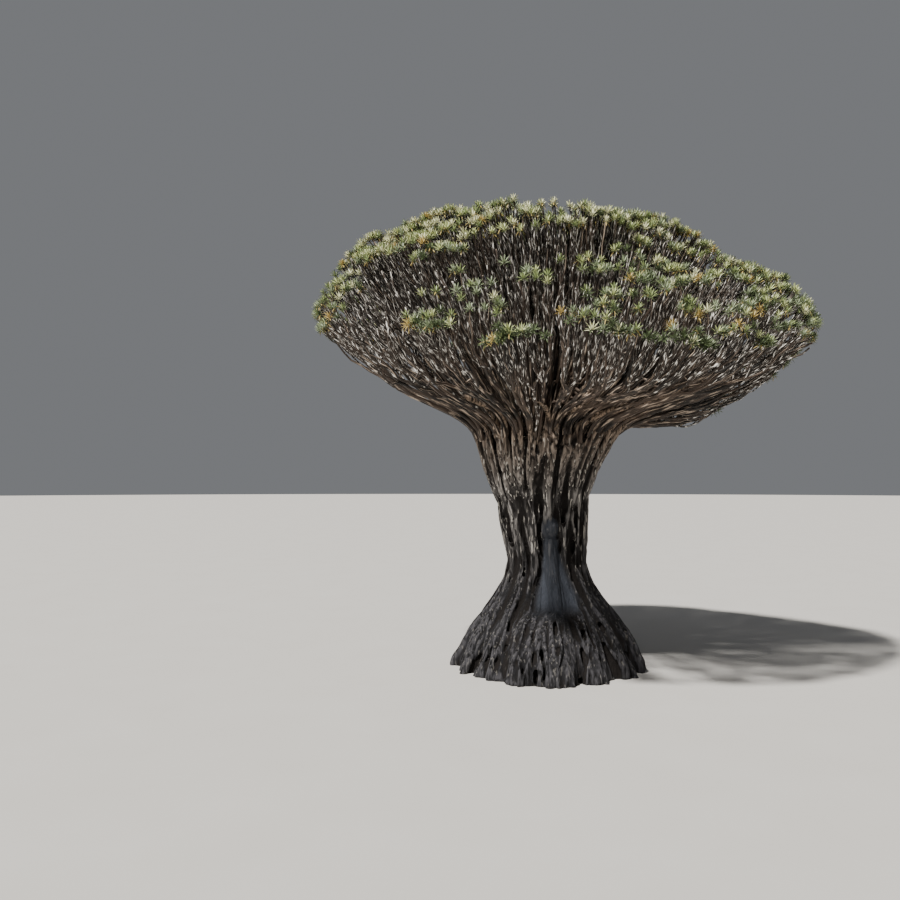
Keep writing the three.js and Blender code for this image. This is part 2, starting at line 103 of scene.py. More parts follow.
def lattice_noise(points: Array, noise: Noise) -> Array:
    """Smooth noise from values on a lattice of unit cells.

    Args:
        points: Places to read, n by 3.
        noise: Which of the noises it is.

    Returns:
        n values from -1 to 1.
    """
    cell = np.floor(points).astype(np.int64)
    t = points - cell
    t = t * t * (3.0 - 2.0 * t)
    total = np.zeros(len(points))
    for corner in range(8):
        step = np.array([corner & 1, (corner >> 1) & 1, (corner >> 2) & 1])
        key = (cell + step) @ LATTICE_PRIMES + noise.value * SEED_PRIME
        key = (key ^ (key >> 13)) * HASH_PRIME & 0x7FFFFFFF
        value = ((key ^ (key >> 16)) & 0xFFFF) / 32767.5 - 1.0
        total += value * np.prod(np.where(step == 1, t, 1.0 - t), axis=1)
    return total


@dataclass(frozen=True)
class Lobe:
    """A side of the crown that hangs below its even dome, or rises over it where the drop is negative."""

    direction: float
    drop: float
    sharpness: float
    start: float
    end: float


@dataclass(frozen=True)
class Ring:
    """A ring of boughs, each with its mass, between two shares of the crown's radius."""

    name: str
    inner: float
    outer: float
    share: float
    count: int
    turn: float


@dataclass(frozen=True)
class Growth:
    """The tree's driving sizes, and the lines in the fan that its limbs follow."""

    # The trunk
    foot_radius: float = 3.35
    waist_radius: float = 1.34
    waist_height: float = 3.9
    head_radius: float = 1.75
    head_height: float = 6.4
    trunk_lean: float = 0.25
    # The crown's dome
    crown_radius: float = 9.15
    rim_height: float = 12.85
    dome_rise: float = 3.1
    dome_roundness: float = 2.55
    dome_fullness: float = 0.53
    crown_shift: float = 0.4
    # The fan between them
    fan_curve: float = 1.32
    neck_spread: float = 0.5
    neck_start: float = 0.3
    neck_end: float = 0.56
    fan_open_height: float = 10.5
    drop_start_height: float = 8.1
    drop_end_height: float = 12.5
    # Where limbs stand back
    hollow_angle: float = -80.0
    hollow_width: float = 15.0
    hollow_heights: tuple[float, float] = (7.7, 10.6)
    hollow_depth: float = 0.34
    parting_depth: float = 0.12
    # The trunk's flutes
    flutes: int = 16
    foot_flute_depth: float = 0.14
    head_flute_depth: float = 0.075
    # The crown's lobes, and its rings of boughs
    bough_start_height: float = 7.5
    lobes: tuple[Lobe, ...] = (
        Lobe(direction=-90.0, drop=2.0, sharpness=1.3, start=0.5, end=0.7),
        Lobe(direction=42.0, drop=2.6, sharpness=4.0, start=0.55, end=0.95),
        Lobe(direction=-6.0, drop=0.27, sharpness=0.7, start=0.42, end=0.58),
        Lobe(direction=180.0, drop=-0.71, sharpness=1.0, start=0.2, end=0.6),
        Lobe(direction=180.0, drop=0.8, sharpness=1.0, start=0.75, end=1.0),
    )
    rings: tuple[Ring, ...] = (
        Ring("rim", inner=0.76, outer=1.0, share=0.97, count=12, turn=0.25),
        Ring("shoulder", inner=0.5, outer=0.76, share=0.65, count=10, turn=0.0),
        Ring("upper", inner=0.24, outer=0.5, share=0.38, count=6, turn=0.4),
        Ring("top", inner=0.0, outer=0.24, share=0.0, count=1, turn=0.0),
    )

    def fan_radius(self, height: Array | float) -> Array:
        """Works out the trunk's radius up to its head, and above it that of the fan's underside.

        Args:
            height: The height to read it at.

        Returns:
            The radius.
        """
        height = np.asarray(height, float)
        foot = (self.foot_radius - self.waist_radius) * (1.0 - smoothstep(height, 0.0, self.waist_height))
        rise = (height - self.waist_height) / (self.head_height - self.waist_height)
        widening = (self.head_radius - self.waist_radius) * np.clip(rise, 0.0, 1.0)
        above = np.maximum(0.0, height - self.head_height) / (self.rim_height - self.head_height)
        neck = mix(self.neck_spread, 1.0, smoothstep(above, self.neck_start, self.neck_end))
        spread = above**self.fan_curve * neck
        return self.waist_radius + foot + widening + (self.crown_radius - self.head_radius) * spread

    def fluting(self, angle: Array | float, height: Array | float) -> Array:
        """Returns how far the flutes of the trunk stand out, or in between them."""
        depth = mix(self.foot_flute_depth, self.head_flute_depth, smoothstep(height, 0.0, self.waist_height))
        fading = 1.0 - smoothstep(height, self.head_height, self.drop_start_height)
        return depth * fading * np.cos(self.flutes * (np.asarray(angle, float) - FRONT))

    def hollow(self, direction: Array, height: Array) -> Array:
        """Works out how far limbs stand back in the front's hollow and between the rim's boughs.

        Args:
            direction: Their direction from the axis, in radians.
            height: Their height.

        Returns:
            The share of their distance from the axis.
        """
        away = turn_from(math.radians(self.hollow_angle), direction) / math.radians(self.hollow_width)
        low, high = self.hollow_heights
        along = np.sin(np.clip((height - low) / (high - low), 0.0, 1.0) * math.pi)
        rim = self.rings[0]
        first = rim.turn / rim.count * math.tau + FRONT
        between = 0.5 - 0.5 * np.cos(rim.count * (direction - first))
        return (self.hollow_depth * np.exp(-(away**2)) + self.parting_depth * between**2) * along

    def dome_height(self, share: Array | float) -> Array:
        """Returns the crown's height at a share of its radius, before its lobes."""
        inside = 1.0 - np.clip(share, 0.0, 1.0) ** self.dome_roundness
        return self.rim_height + self.dome_rise * inside**self.dome_fullness

    def fan_share(self, share: Array | float, height: Array | float) -> Array:
        """Returns the share of the fan's radius for a limb that ends at this share of the crown's radius."""
        opening = smoothstep(height, self.bough_start_height, self.fan_open_height)
        spread = self.crown_radius * share / self.fan_radius(self.dome_height(share))
        return mix(share, spread, opening)

    def crown_drop(self, angle: Array | float, share: Array | float) -> Array:
        """Returns how far the crown hangs below its even dome in a direction, at a share of its radius."""
        total = 0.0
        for lobe in self.lobes:
            facing = np.maximum(0.0, np.cos(angle - math.radians(lobe.direction)))
            total = total + lobe.drop * facing**lobe.sharpness * smoothstep(share, lobe.start, lobe.end)
        return total

    def sideways(self, height: Array | float) -> Array:
        """Returns how far right of the foot the trunk and crown stand at a height."""
        lean = -self.trunk_lean * smoothstep(height, self.waist_height / 2.0, self.head_height)
        returning = smoothstep(height, self.head_height, self.drop_end_height)
        return lean + (self.crown_shift + self.trunk_lean) * returning

    def fan_point(self, share: Array | float, angle: Array | float, height: Array | float) -> Array:
        """A point of the fan.

        Args:
            share: Its share of the crown's radius.
            angle: Its direction from the axis, in radians.
            height: Its height before any drop.

        Returns:
            The points, with x, y and z along the last axis.
        """
        share, angle, height = np.broadcast_arrays(*(np.asarray(v, float) for v in (share, angle, height)))
        radius = self.fan_radius(height) * self.fan_share(share, height)
        ramp = smoothstep(height, self.drop_start_height, self.drop_end_height)
        x = radius * np.cos(angle) + self.sideways(height)
        return np.stack([x, radius * np.sin(angle), height - self.crown_drop(angle, share) * ramp], axis=-1)


@dataclass(frozen=True)
class TrunkForm:
    """A form of the trunk's skin, out or in, at its full depth between the inner two of its heights."""

    name: str
    direction: float
    half_width: float
    heights: tuple[float, float, float, float]
    out: float

    def relief(self, angle: Array | float, height: Array | float) -> Array:
        """Works out how far the form stands out of the skin.

        Args:
            angle: The direction from the axis, in radians.
            height: The height.

        Returns:
            How far it stands out, or less than 0 where it goes in.
        """
        away = np.abs(turn_from(math.radians(self.direction), angle)) / math.radians(self.half_width)
        low, low_full, high_full, high = self.heights
        along = smoothstep(height, low, low_full) * (1.0 - smoothstep(height, high_full, high))
        return self.out * along * (1.0 - smoothstep(away, 0.0, 1.0))


@dataclass
class Space:
    """One bough's place in its ring, and the space that its mass keeps to."""

    ring: Ring
    index: int
    samples: Array = field(default_factory=lambda: np.zeros((0, 3)))

    @property
    def angle(self) -> float:
        """Returns the direction of the space's middle."""
        return (self.index + self.ring.turn) / self.ring.count * 2.0 * math.pi + FRONT

    @property
    def half_angle(self) -> float:
        """Returns how far the space reaches to either side of its middle."""
        return math.pi / self.ring.count

    def node(self, kind: str) -> str:
        """Returns the name of this space's node of a kind, bough or mass."""
        label = f"_{self.index + 1:02d}" if self.ring.count > 1 else ""
        return f"{self.ring.name}_{kind}{label}"


@dataclass
class Path:
    """Stations that a limb follows: centres, n by 3, and a radius at each."""

    centres: Array
    radii: Array

    def resampled(self, count: int) -> "Path":
        """Spaces a path's stations evenly.

        Args:
            count: How many stations there are to be.

        Returns:
            The same path with that many stations.
        """
        steps = np.linalg.norm(np.diff(self.centres, axis=0), axis=1)
        length = np.concatenate([[0.0], np.cumsum(steps)])
        at = np.linspace(0.0, length[-1], count)
        centres = np.stack([np.interp(at, length, self.centres[:, k]) for k in range(3)], axis=1)
        return Path(centres, np.interp(at, length, self.radii))

    def frames(self) -> tuple[Array, Array, Array]:
        """Returns each station's direction and two directions across it, carried along without twisting."""
        ahead = unit(np.gradient(self.centres, axis=0))
        across = np.zeros_like(ahead)
        reference = np.array([0.0, 1.0, 0.0]) if abs(ahead[0, 1]) < 0.9 else np.array([1.0, 0.0, 0.0])
        for station, direction in enumerate(ahead):
            reference = unit(reference - direction * np.dot(reference, direction))
            across[station] = reference
        return ahead, across, np.cross(ahead, across)


def deselect_all() -> None:
    """Leaves nothing selected, in object mode."""
    if bpy.context.object and bpy.context.object.mode != "OBJECT":
        bpy.ops.object.mode_set(mode="OBJECT")
    bpy.ops.object.select_all(action="DESELECT")


def select_only(pieces: list[bpy.types.Object]) -> None:
    """Selects these objects and nothing else, with the first one active."""
    deselect_all()
    for piece in pieces:
        piece.select_set(True)
    bpy.context.view_layer.objects.active = pieces[0]


def apply_modifier(piece: bpy.types.Object, kind: str, **settings: object) -> None:
    """Adds a modifier to a piece and applies it.

    Args:
        piece: The object to change.
        kind: The modifier's type.
        settings: Its settings by name.
    """
    modifier = piece.modifiers.new(kind.title(), kind)
    for name, value in settings.items():
        setattr(modifier, name, value)
    select_only([piece])
    bpy.ops.object.modifier_apply(modifier=modifier.name)


def vertex_places(mesh: bpy.types.Mesh) -> Array:
    """Returns the places of a mesh's vertices, n by 3."""
    places = np.empty(len(mesh.vertices) * 3)
    mesh.vertices.foreach_get("co", places)
    return places.reshape(-1, 3)


def vertex_normals(mesh: bpy.types.Mesh) -> Array:
    """Returns the normals of a mesh's vertices, n by 3."""
    normals = np.empty(len(mesh.vertices) * 3)
    mesh.vertices.foreach_get("normal", normals)
    return normals.reshape(-1, 3)


def move_vertices(mesh: bpy.types.Mesh, places: Array) -> None:
    """Moves a mesh's vertices to new places, n by 3."""
    mesh.vertices.foreach_set("co", places.ravel())
    mesh.update()


def smoothed_places(mesh: bpy.types.Mesh, places: Array, rounds: int, share: float = 0.7) -> Array:
    """Evens out a mesh's places over their neighbours.

    Args:
        mesh: The mesh whose edges join the places.
        places: The places, n by 3.
        rounds: How often each place moves towards the middle of its neighbours.
        share: How much of the way it moves.

    Returns:
        The evened places, n by 3.
    """
    ends = np.empty(len(mesh.edges) * 2, dtype=np.int64)
    mesh.edges.foreach_get("vertices", ends)
    first, second = ends.reshape(-1, 2).T
    count = np.bincount(ends, minlength=len(places))[:, None]
    for _ in range(rounds):
        total = np.empty_like(places)
        for axis in range(3):
            total[:, axis] = np.bincount(first, places[second, axis], len(places))
            total[:, axis] += np.bincount(second, places[first, axis], len(places))
        places = mix(places, total / np.maximum(count, 1), share)
    return places


def wave(height: Array, rates: tuple[float, float], random: np.random.Generator) -> Array:
    """Returns a wave up a limb, from -1 to 1, at a rate between two and from a chance start."""
    rate = random.uniform(*rates)
    return np.sin(height * rate + random.uniform(0.0, 6.0))


def curve_weights(t: float) -> tuple[float, float, float, float]:
    """Returns how much a smooth curve's start, start heading, end and end heading count, a share along it."""
    return 2 * t**3 - 3 * t**2 + 1, t**3 - 2 * t**2 + t, 3 * t**2 - 2 * t**3, t**3 - t**2


def taper(radii: Array, stations: int, tip: float) -> None:
    """Narrows a limb's last few radii evenly, down to a share of them at its tip."""
    radii[-stations:] *= np.linspace(0.95, tip, stations)


def add_attribute(mesh: bpy.types.Mesh, name: str, values: Array) -> None:
    """Stores a number for each vertex of a mesh, for a material to read."""
    attribute = mesh.attributes.new(name, "FLOAT", "POINT")
    attribute.data.foreach_set("value", np.asarray(values, np.float32))


class LimbMaker:
    """Models one plain limb by hand, and lays copies of it along paths."""

    def __init__(self, sides: int, rows: int) -> None:
        """Models the limb: an upright cylinder whose long edges are cut into rows.

        Args:
            sides: How many sides it has.
            rows: How many rows it is cut into.
        """
        self.rows = rows
        deselect_all()
        bpy.ops.mesh.primitive_cylinder_add(vertices=sides, radius=1.0, depth=1.0, end_fill_type="TRIFAN")
        self.limb = bpy.context.object
        bpy.ops.object.mode_set(mode="EDIT")
        bpy.ops.mesh.select_mode(type="EDGE")
        bpy.ops.mesh.select_all(action="DESELECT")
        bpy.ops.object.mode_set(mode="OBJECT")
        mesh = self.limb.data
        for edge in mesh.edges:
            low, high = (mesh.vertices[index].co.z for index in edge.vertices)
            edge.select = abs(high - low) > 0.5
        bpy.ops.object.mode_set(mode="EDIT")
        bpy.ops.mesh.subdivide(number_cuts=rows - 1)
        bpy.ops.object.mode_set(mode="OBJECT")
        self.places = vertex_places(mesh)
        self.station = np.rint((self.places[:, 2] + 0.5) * rows).astype(int)

    def lay(self, path: Path) -> bpy.types.Object:
        """Copies the limb, and bends and swells the copy along a path.

        Args:
            path: The path that it follows.

        Returns:
            The copy.
        """
        even = path.resampled(self.rows + 1)
        _, across, beside = even.frames()
        copy = self.limb.copy()
        copy.data = self.limb.data.copy()
        bpy.context.scene.collection.objects.link(copy)
        radius = even.radii[self.station][:, None]
        out = self.places[:, :1] * across[self.station] + self.places[:, 1:2] * beside[self.station]
        move_vertices(copy.data, even.centres[self.station] + out * radius)
        return copy

    def remove(self) -> None:
        """Takes the plain limb away again."""
        bpy.data.objects.remove(self.limb)


class MeshArrays:
    """Gathers many small things into one mesh, with a UV map."""

    def __init__(self) -> None:
        """Starts empty."""
        self.places: list[Array] = []
        self.faces: list[Array] = []
        self.uvs: list[Array] = []
        self.count = 0

    def add(self, places: Array, faces: Array, uvs: Array) -> None:
        """Adds triangles.

        Args:
            places: Corner places, n by 3.
            faces: Triangles as corner numbers, m by 3.
            uvs: A UV for each corner of each triangle, m by 3 by 2.
        """
        self.places.append(places)
        self.faces.append(faces + self.count)
        self.uvs.append(uvs)
        self.count += len(places)

    def build(self, name: str) -> bpy.types.Object:
        """Makes an object that holds everything.

        Args:
            name: The object's name.

        Returns:
            The object.
        """
        places = np.concatenate(self.places)
        faces = np.concatenate(self.faces)
        mesh = bpy.data.meshes.new(name)
        mesh.vertices.add(len(places))
        mesh.vertices.foreach_set("co", places.ravel())
        mesh.loops.add(faces.size)
        mesh.loops.foreach_set("vertex_index", faces.ravel().astype(np.int32))
        mesh.polygons.add(len(faces))
        mesh.polygons.foreach_set("loop_start", np.arange(0, faces.size, 3, dtype=np.int32))
        layer = mesh.uv_layers.new(name="UVMap")
        layer.data.foreach_set("uv", np.concatenate(self.uvs).ravel())
        mesh.update(calc_edges=True)
        mesh.validate()
        piece = bpy.data.objects.new(name, mesh)
        bpy.context.scene.collection.objects.link(piece)
        return piece


class NodeTree:
    """A small hand for building a material's nodes."""

    def __init__(self, name: str) -> None:
        """Starts a material with its surface shader.

        Args:
            name: The material's name.
        """
        self.material = bpy.data.materials.new(name)
        self.material.use_nodes = True
        self.tree = self.material.node_tree
        self.shader = self.tree.nodes["Principled BSDF"]

    def node(self, kind: str, inputs: dict[str, object] | None = None, **settings: object) -> bpy.types.Node:
        """Adds a node.

        Args:
            kind: The node's type.
            inputs: Values or sockets for its inputs, by name or number.
            settings: Its own settings.

        Returns:
            The node.
        """
        made = self.tree.nodes.new(kind)
        for name, value in settings.items():
            setattr(made, name, value)
        for name, value in (inputs or {}).items():
            self.set(made.inputs[name], value)
        return made

    def set(self, socket: bpy.types.NodeSocket, value: object) -> None:
        """Links a socket to an output, or sets it to a value."""
        if isinstance(value, bpy.types.NodeSocket):
            self.tree.links.new(value, socket)
        else:
            socket.default_value = value

    def blend(self, share: object, first: object, second: object) -> bpy.types.NodeSocket:
        """Returns a colour that goes from the first to the second by a share."""
        made = self.node("ShaderNodeMix", data_type="RGBA")
        for socket, value in zip((made.inputs[0], made.inputs[6], made.inputs[7]), (share, first, second)):
            self.set(socket, value)
        return made.outputs[2]

    def math(self, operation: str, first: object, second: object = 0.0) -> bpy.types.NodeSocket:
        """Returns the result of an operation on two numbers."""
        return self.node("ShaderNodeMath", {0: first, 1: second}, operation=operation).outputs[0]

    def span(self, value: object, low: float, high: float) -> bpy.types.NodeSocket:
        """Returns a number that goes from 0 to 1 as a value goes from low to high."""
        made = self.node("ShaderNodeMapRange", {"Value": value, "From Min": low, "From Max": high})
        return made.outputs["Result"]

    def noise(self, place: object, scale: float, detail: float = 3.0) -> bpy.types.NodeSocket:
        """Returns even noise of a scale, read at a place."""
        made = self.node("ShaderNodeTexNoise", {"Vector": place, "Scale": scale, "Detail": detail})
        return made.outputs["Fac"]

    def object_place(self, stretch: tuple[float, float, float] = (1.0, 1.0, 1.0)) -> bpy.types.NodeSocket:
        """Returns the object's own coordinates, scaled along each axis."""
        coordinates = self.node("ShaderNodeTexCoord").outputs["Object"]
        return self.node("ShaderNodeMapping", {"Vector": coordinates, "Scale": stretch}).outputs["Vector"]

    def attribute(self, name: str) -> bpy.types.NodeSocket:
        """Returns a number that the mesh stores for each vertex."""
        return self.node("ShaderNodeAttribute", attribute_name=name).outputs["Fac"]

    def bump(self, height: object, strength: float, distance: float) -> None:
        """Raises the surface by a height pattern."""
        made = self.node("ShaderNodeBump", {"Strength": strength, "Distance": distance, "Height": height})
        self.set(self.shader.inputs["Normal"], made.outputs["Normal"])


Colour = tuple[float, float, float, float]


def srgb(red: int, green: int, blue: int) -> Colour:
    """Returns a colour for a shader from its 8-bit screen values."""
    channels = (value / 255.0 for value in (red, green, blue))
    linear = (v / 12.92 if v <= 0.04045 else ((v + 0.055) / 1.055) ** 2.4 for v in channels)
    return (*linear, 1.0)


@dataclass(frozen=True)
class BarkTones:
    """The tones of a stretch of bark: pale, also its painted highlight on ridges, middle and dark."""

    pale: Colour
    middle: Colour
    dark: Colour

    def listed(self) -> tuple[Colour, Colour, Colour]:
        """Returns the tones in their order."""
        return self.pale, self.middle, self.dark


@dataclass(frozen=True)
class BarkFinish:
    """Old bark: painted highlights on ridges, near black painted shade in clefts, fine cracks along the
    grain.

    It goes from dark slate at the foot, darkened there with painted shade of the crown, to grey on the trunk
    and to a warmer brown on the boughs. Where it is marked as smooth it is blue grey.
    """

    name: str = "old_bark"
    # Painted shade: the foot's tones are dark slate, darkened further for the crown's shadow
    foot: BarkTones = BarkTones(srgb(64, 63, 66), srgb(18, 18, 21), srgb(5, 5, 6))
    trunk: BarkTones = BarkTones(srgb(142, 138, 134), srgb(58, 55, 54), srgb(22, 21, 21))
    boughs: BarkTones = BarkTones(srgb(148, 129, 111), srgb(66, 53, 44), srgb(18, 14, 11))
    smooth: Colour = srgb(52, 56, 64)
    # Painted highlight: the pale glints of sun dotted over the bark
    glint: Colour = srgb(214, 208, 198)
    # Painted shade: the near black that the clefts are painted with
    cleft: Colour = srgb(16, 12, 10)
    grain: tuple[float, float, float] = (1.0, 1.0, 0.1)
    glint_stretch: tuple[float, float, float] = (1.0, 1.0, 0.07)
    foot_shade_low: float = 2.8
    foot_shade_high: float = 6.2
    warming_low: float = 6.2
    warming_high: float = 8.8
    broad_scale: float = 0.9
    broad_share: float = 0.2
    streak_scale: float = 12.0
    glint_scale: float = 15.0
    crack_scale: float = 16.0
    # Painted highlight: how the ridges are painted with the pale tone
    ridge_highlight_relief: tuple[float, float] = (0.1, 0.7)
    ridge_highlight_share: float = 0.85
    glint_span: tuple[float, float] = (0.64, 0.67)
    glint_share: float = 0.75
    foot_glints: float = 0.12
    glint_fading: float = 0.8
    cleft_shade_relief: tuple[float, float] = (0.0, -0.65)
    cleft_shade_share: float = 0.95
    smooth_share: float = 0.85
    roughness: float = 0.92
    shine: float = 0.25
    bump_height: float = 0.035

    def material(self) -> bpy.types.Material:
        """Returns the finish as a material."""
        nodes = NodeTree(self.name)
        along = nodes.object_place(self.grain)
        upward = nodes.node("ShaderNodeSeparateXYZ", {"Vector": nodes.object_place()}).outputs["Z"]
        warmth = nodes.span(upward, self.warming_low, self.warming_high)
        # Painted shade: the bark darkens from the trunk down to the foot, and fewer glints are painted there
        above_foot_shade = nodes.span(upward, self.foot_shade_low, self.foot_shade_high)
        pale, middle, dark = (
            nodes.blend(warmth, nodes.blend(above_foot_shade, foot, trunk), bough)
            for foot, trunk, bough in zip(self.foot.listed(), self.trunk.listed(), self.boughs.listed())
        )
        broad = nodes.noise(nodes.object_place(), self.broad_scale, 4.0)
        streaks = nodes.noise(along, self.streak_scale, 5.0)
        # Painted highlights: a stretched noise sets where the glints of sun are painted
        glint_noise = nodes.noise(nodes.object_place(self.glint_stretch), self.glint_scale, 1.0)
        tone = nodes.blend(nodes.span(streaks, 0.4, 0.56), dark, middle)
        tone = nodes.blend(nodes.math("MULTIPLY", nodes.span(broad, 0.45, 0.7), self.broad_share), tone, pale)
        relief = nodes.attribute("relief")
        # Painted highlight: where the relief stands out on a ridge, the bark is painted pale
        ridges = nodes.span(relief, *self.ridge_highlight_relief)
        ridges = nodes.math("MULTIPLY", ridges, nodes.span(streaks, 0.38, 0.56))
        tone = nodes.blend(nodes.math("MULTIPLY", ridges, self.ridge_highlight_share), tone, pale)
        # Painted highlights: glints of sun, fewer at the foot and on the boughs
        glints = nodes.span(glint_noise, *self.glint_span)
        glints = nodes.math("MULTIPLY", glints, nodes.math("ADD", above_foot_shade, self.foot_glints))
        fading = nodes.math("SUBTRACT", 1.0, nodes.math("MULTIPLY", warmth, self.glint_fading))
        glints = nodes.math("MULTIPLY", glints, fading)
        tone = nodes.blend(nodes.math("MULTIPLY", glints, self.glint_share), tone, self.glint)
        # Painted shade: where the relief sinks into a cleft, the bark is painted near black
        clefts = nodes.span(relief, *self.cleft_shade_relief)
        tone = nodes.blend(nodes.math("MULTIPLY", clefts, self.cleft_shade_share), tone, self.cleft)
        smooth = nodes.attribute("smooth_bark")
        tone = nodes.blend(nodes.math("MULTIPLY", smooth, self.smooth_share), tone, self.smooth)
        nodes.set(nodes.shader.inputs["Base Color"], tone)
        nodes.shader.inputs["Roughness"].default_value = self.roughness
        nodes.shader.inputs["Specular IOR Level"].default_value = self.shine
        cracks = nodes.noise(along, self.crack_scale, 4.0)
        nodes.bump(nodes.math("ADD", nodes.math("MULTIPLY", streaks, 1.5), cracks), 1.0, self.bump_height)
        return nodes.material


@dataclass(frozen=True)
class TwigFinish:
    """Young bark: pale streaks on brown, painted glints of sun and partly pale bark, ringed by old leaf
    scars.
    """

    name: str
    # Painted highlight: the pale of the streaks, glints of sun, partly pale bark too
    pale: Colour
    brown: Colour
    dark: Colour
    streaks: tuple[float, float, float] = (3.0, 3.4, 1.0)
    glint_from: float = 0.535
    glint_fade: float = 0.09
    shade_scale: float = 0.7
    scars_per_metre: float = 32.0
    roughness: float = 0.7
    bump_height: float = 0.004

    def material(self) -> bpy.types.Material:
        """Returns the finish as a material."""
        nodes = NodeTree(self.name)
        skin = nodes.node("ShaderNodeUVMap").outputs["UV"]
        lengthwise = nodes.node("ShaderNodeSeparateXYZ", {"Vector": skin}).outputs["Y"]
        rings = nodes.math("SINE", nodes.math("MULTIPLY", lengthwise, self.scars_per_metre * math.tau))
        stretched = nodes.node("ShaderNodeMapping", {"Vector": skin, "Scale": self.streaks}).outputs["Vector"]
        shade = nodes.span(nodes.noise(nodes.object_place(), self.shade_scale, 2.0), 0.4, 0.6)
        brown = nodes.blend(shade, self.dark, self.brown)
        # Painted highlights: the pale streaks stand for glints of sun, and partly for pale bark
        glint_streak = nodes.span(nodes.noise(stretched, 1.0, 3.0), self.glint_from, self.glint_from + self.glint_fade)
        tone = nodes.blend(glint_streak, brown, self.pale)
        nodes.set(nodes.shader.inputs["Base Color"], tone)
        nodes.shader.inputs["Roughness"].default_value = self.roughness
        nodes.bump(nodes.math("ADD", rings, nodes.noise(nodes.object_place(), 40.0)), 0.35, self.bump_height)
        return nodes.material


@dataclass(frozen=True)
class LeafFinish:
    """Sword leaves of one tone, a little uneven from leaf to leaf."""

    name: str
    colour: Colour
    share: float
    patch_scale: float = 6.0
    patch_shade: float = 0.68
    roughness: float = 0.45
    bump_height: float = 0.003

    def material(self) -> bpy.types.Material:
        """Returns the finish as a material."""
        nodes = NodeTree(self.name)
        patches = nodes.noise(nodes.object_place(), self.patch_scale, 2.0)
        darker = tuple(channel * self.patch_shade for channel in self.colour[:3]) + (1.0,)
        tone = nodes.blend(nodes.span(patches, 0.35, 0.65), darker, self.colour)
        nodes.set(nodes.shader.inputs["Base Color"], tone)
        nodes.shader.inputs["Roughness"].default_value = self.roughness
        nodes.bump(nodes.noise(nodes.object_place((1.0, 1.0, 0.2)), 60.0, 1.0), 0.2, self.bump_height)
        return nodes.material


class LeafTone(Enum):
    """The tones of leaves, as painted light from the sunniest to the shadiest, and the dry one last.

    The share is how many of the rosettes are dealt the tone. Shade is only for their oldest leaves.
    """

    # Painted light: the greens step from lit to shaded tones, each also a little different in hue
    SUNLIT = LeafFinish("leaf_sunlit", srgb(236, 237, 196), 0.25)
    LIT = LeafFinish("leaf_fresh", srgb(200, 209, 150), 0.22)
    MIDDLE = LeafFinish("leaf_middle", srgb(150, 165, 110), 0.2)
    GREY_GREEN = LeafFinish("leaf_grey_green", srgb(158, 171, 138), 0.18)
    DIM = LeafFinish("leaf_deep", srgb(84, 98, 64), 0.12)
    SHADE = LeafFinish("leaf_shade", srgb(58, 70, 44), 0.0)
    DRY = LeafFinish("leaf_dry", srgb(192, 170, 104), 0.035)

    @property
    def of_old_leaves(self) -> "LeafTone":
        """Returns the tone of the oldest leaves in a rosette of this tone: darker, as painted shade and
        partly older green.
        """
        if self in (LeafTone.SUNLIT, LeafTone.LIT):
            return LeafTone.SHADE
        return self if self is LeafTone.DRY else LeafTone.DIM


def finish_piece(piece: bpy.types.Object, material: bpy.types.Material, nodes: list[str]) -> None:
    """Dresses a piece and places it in the frame.

    Args:
        piece: The finished object, at the origin.
        material: Its material.
        nodes: The solids that it stands for.
    """
    piece.data.materials.clear()
    piece.data.materials.append(material)
    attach(piece, "root")
    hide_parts(*nodes)
    triangles = sum(len(polygon.vertices) - 2 for polygon in piece.data.polygons)
    log.info("%s: %d triangles", piece.name, triangles)


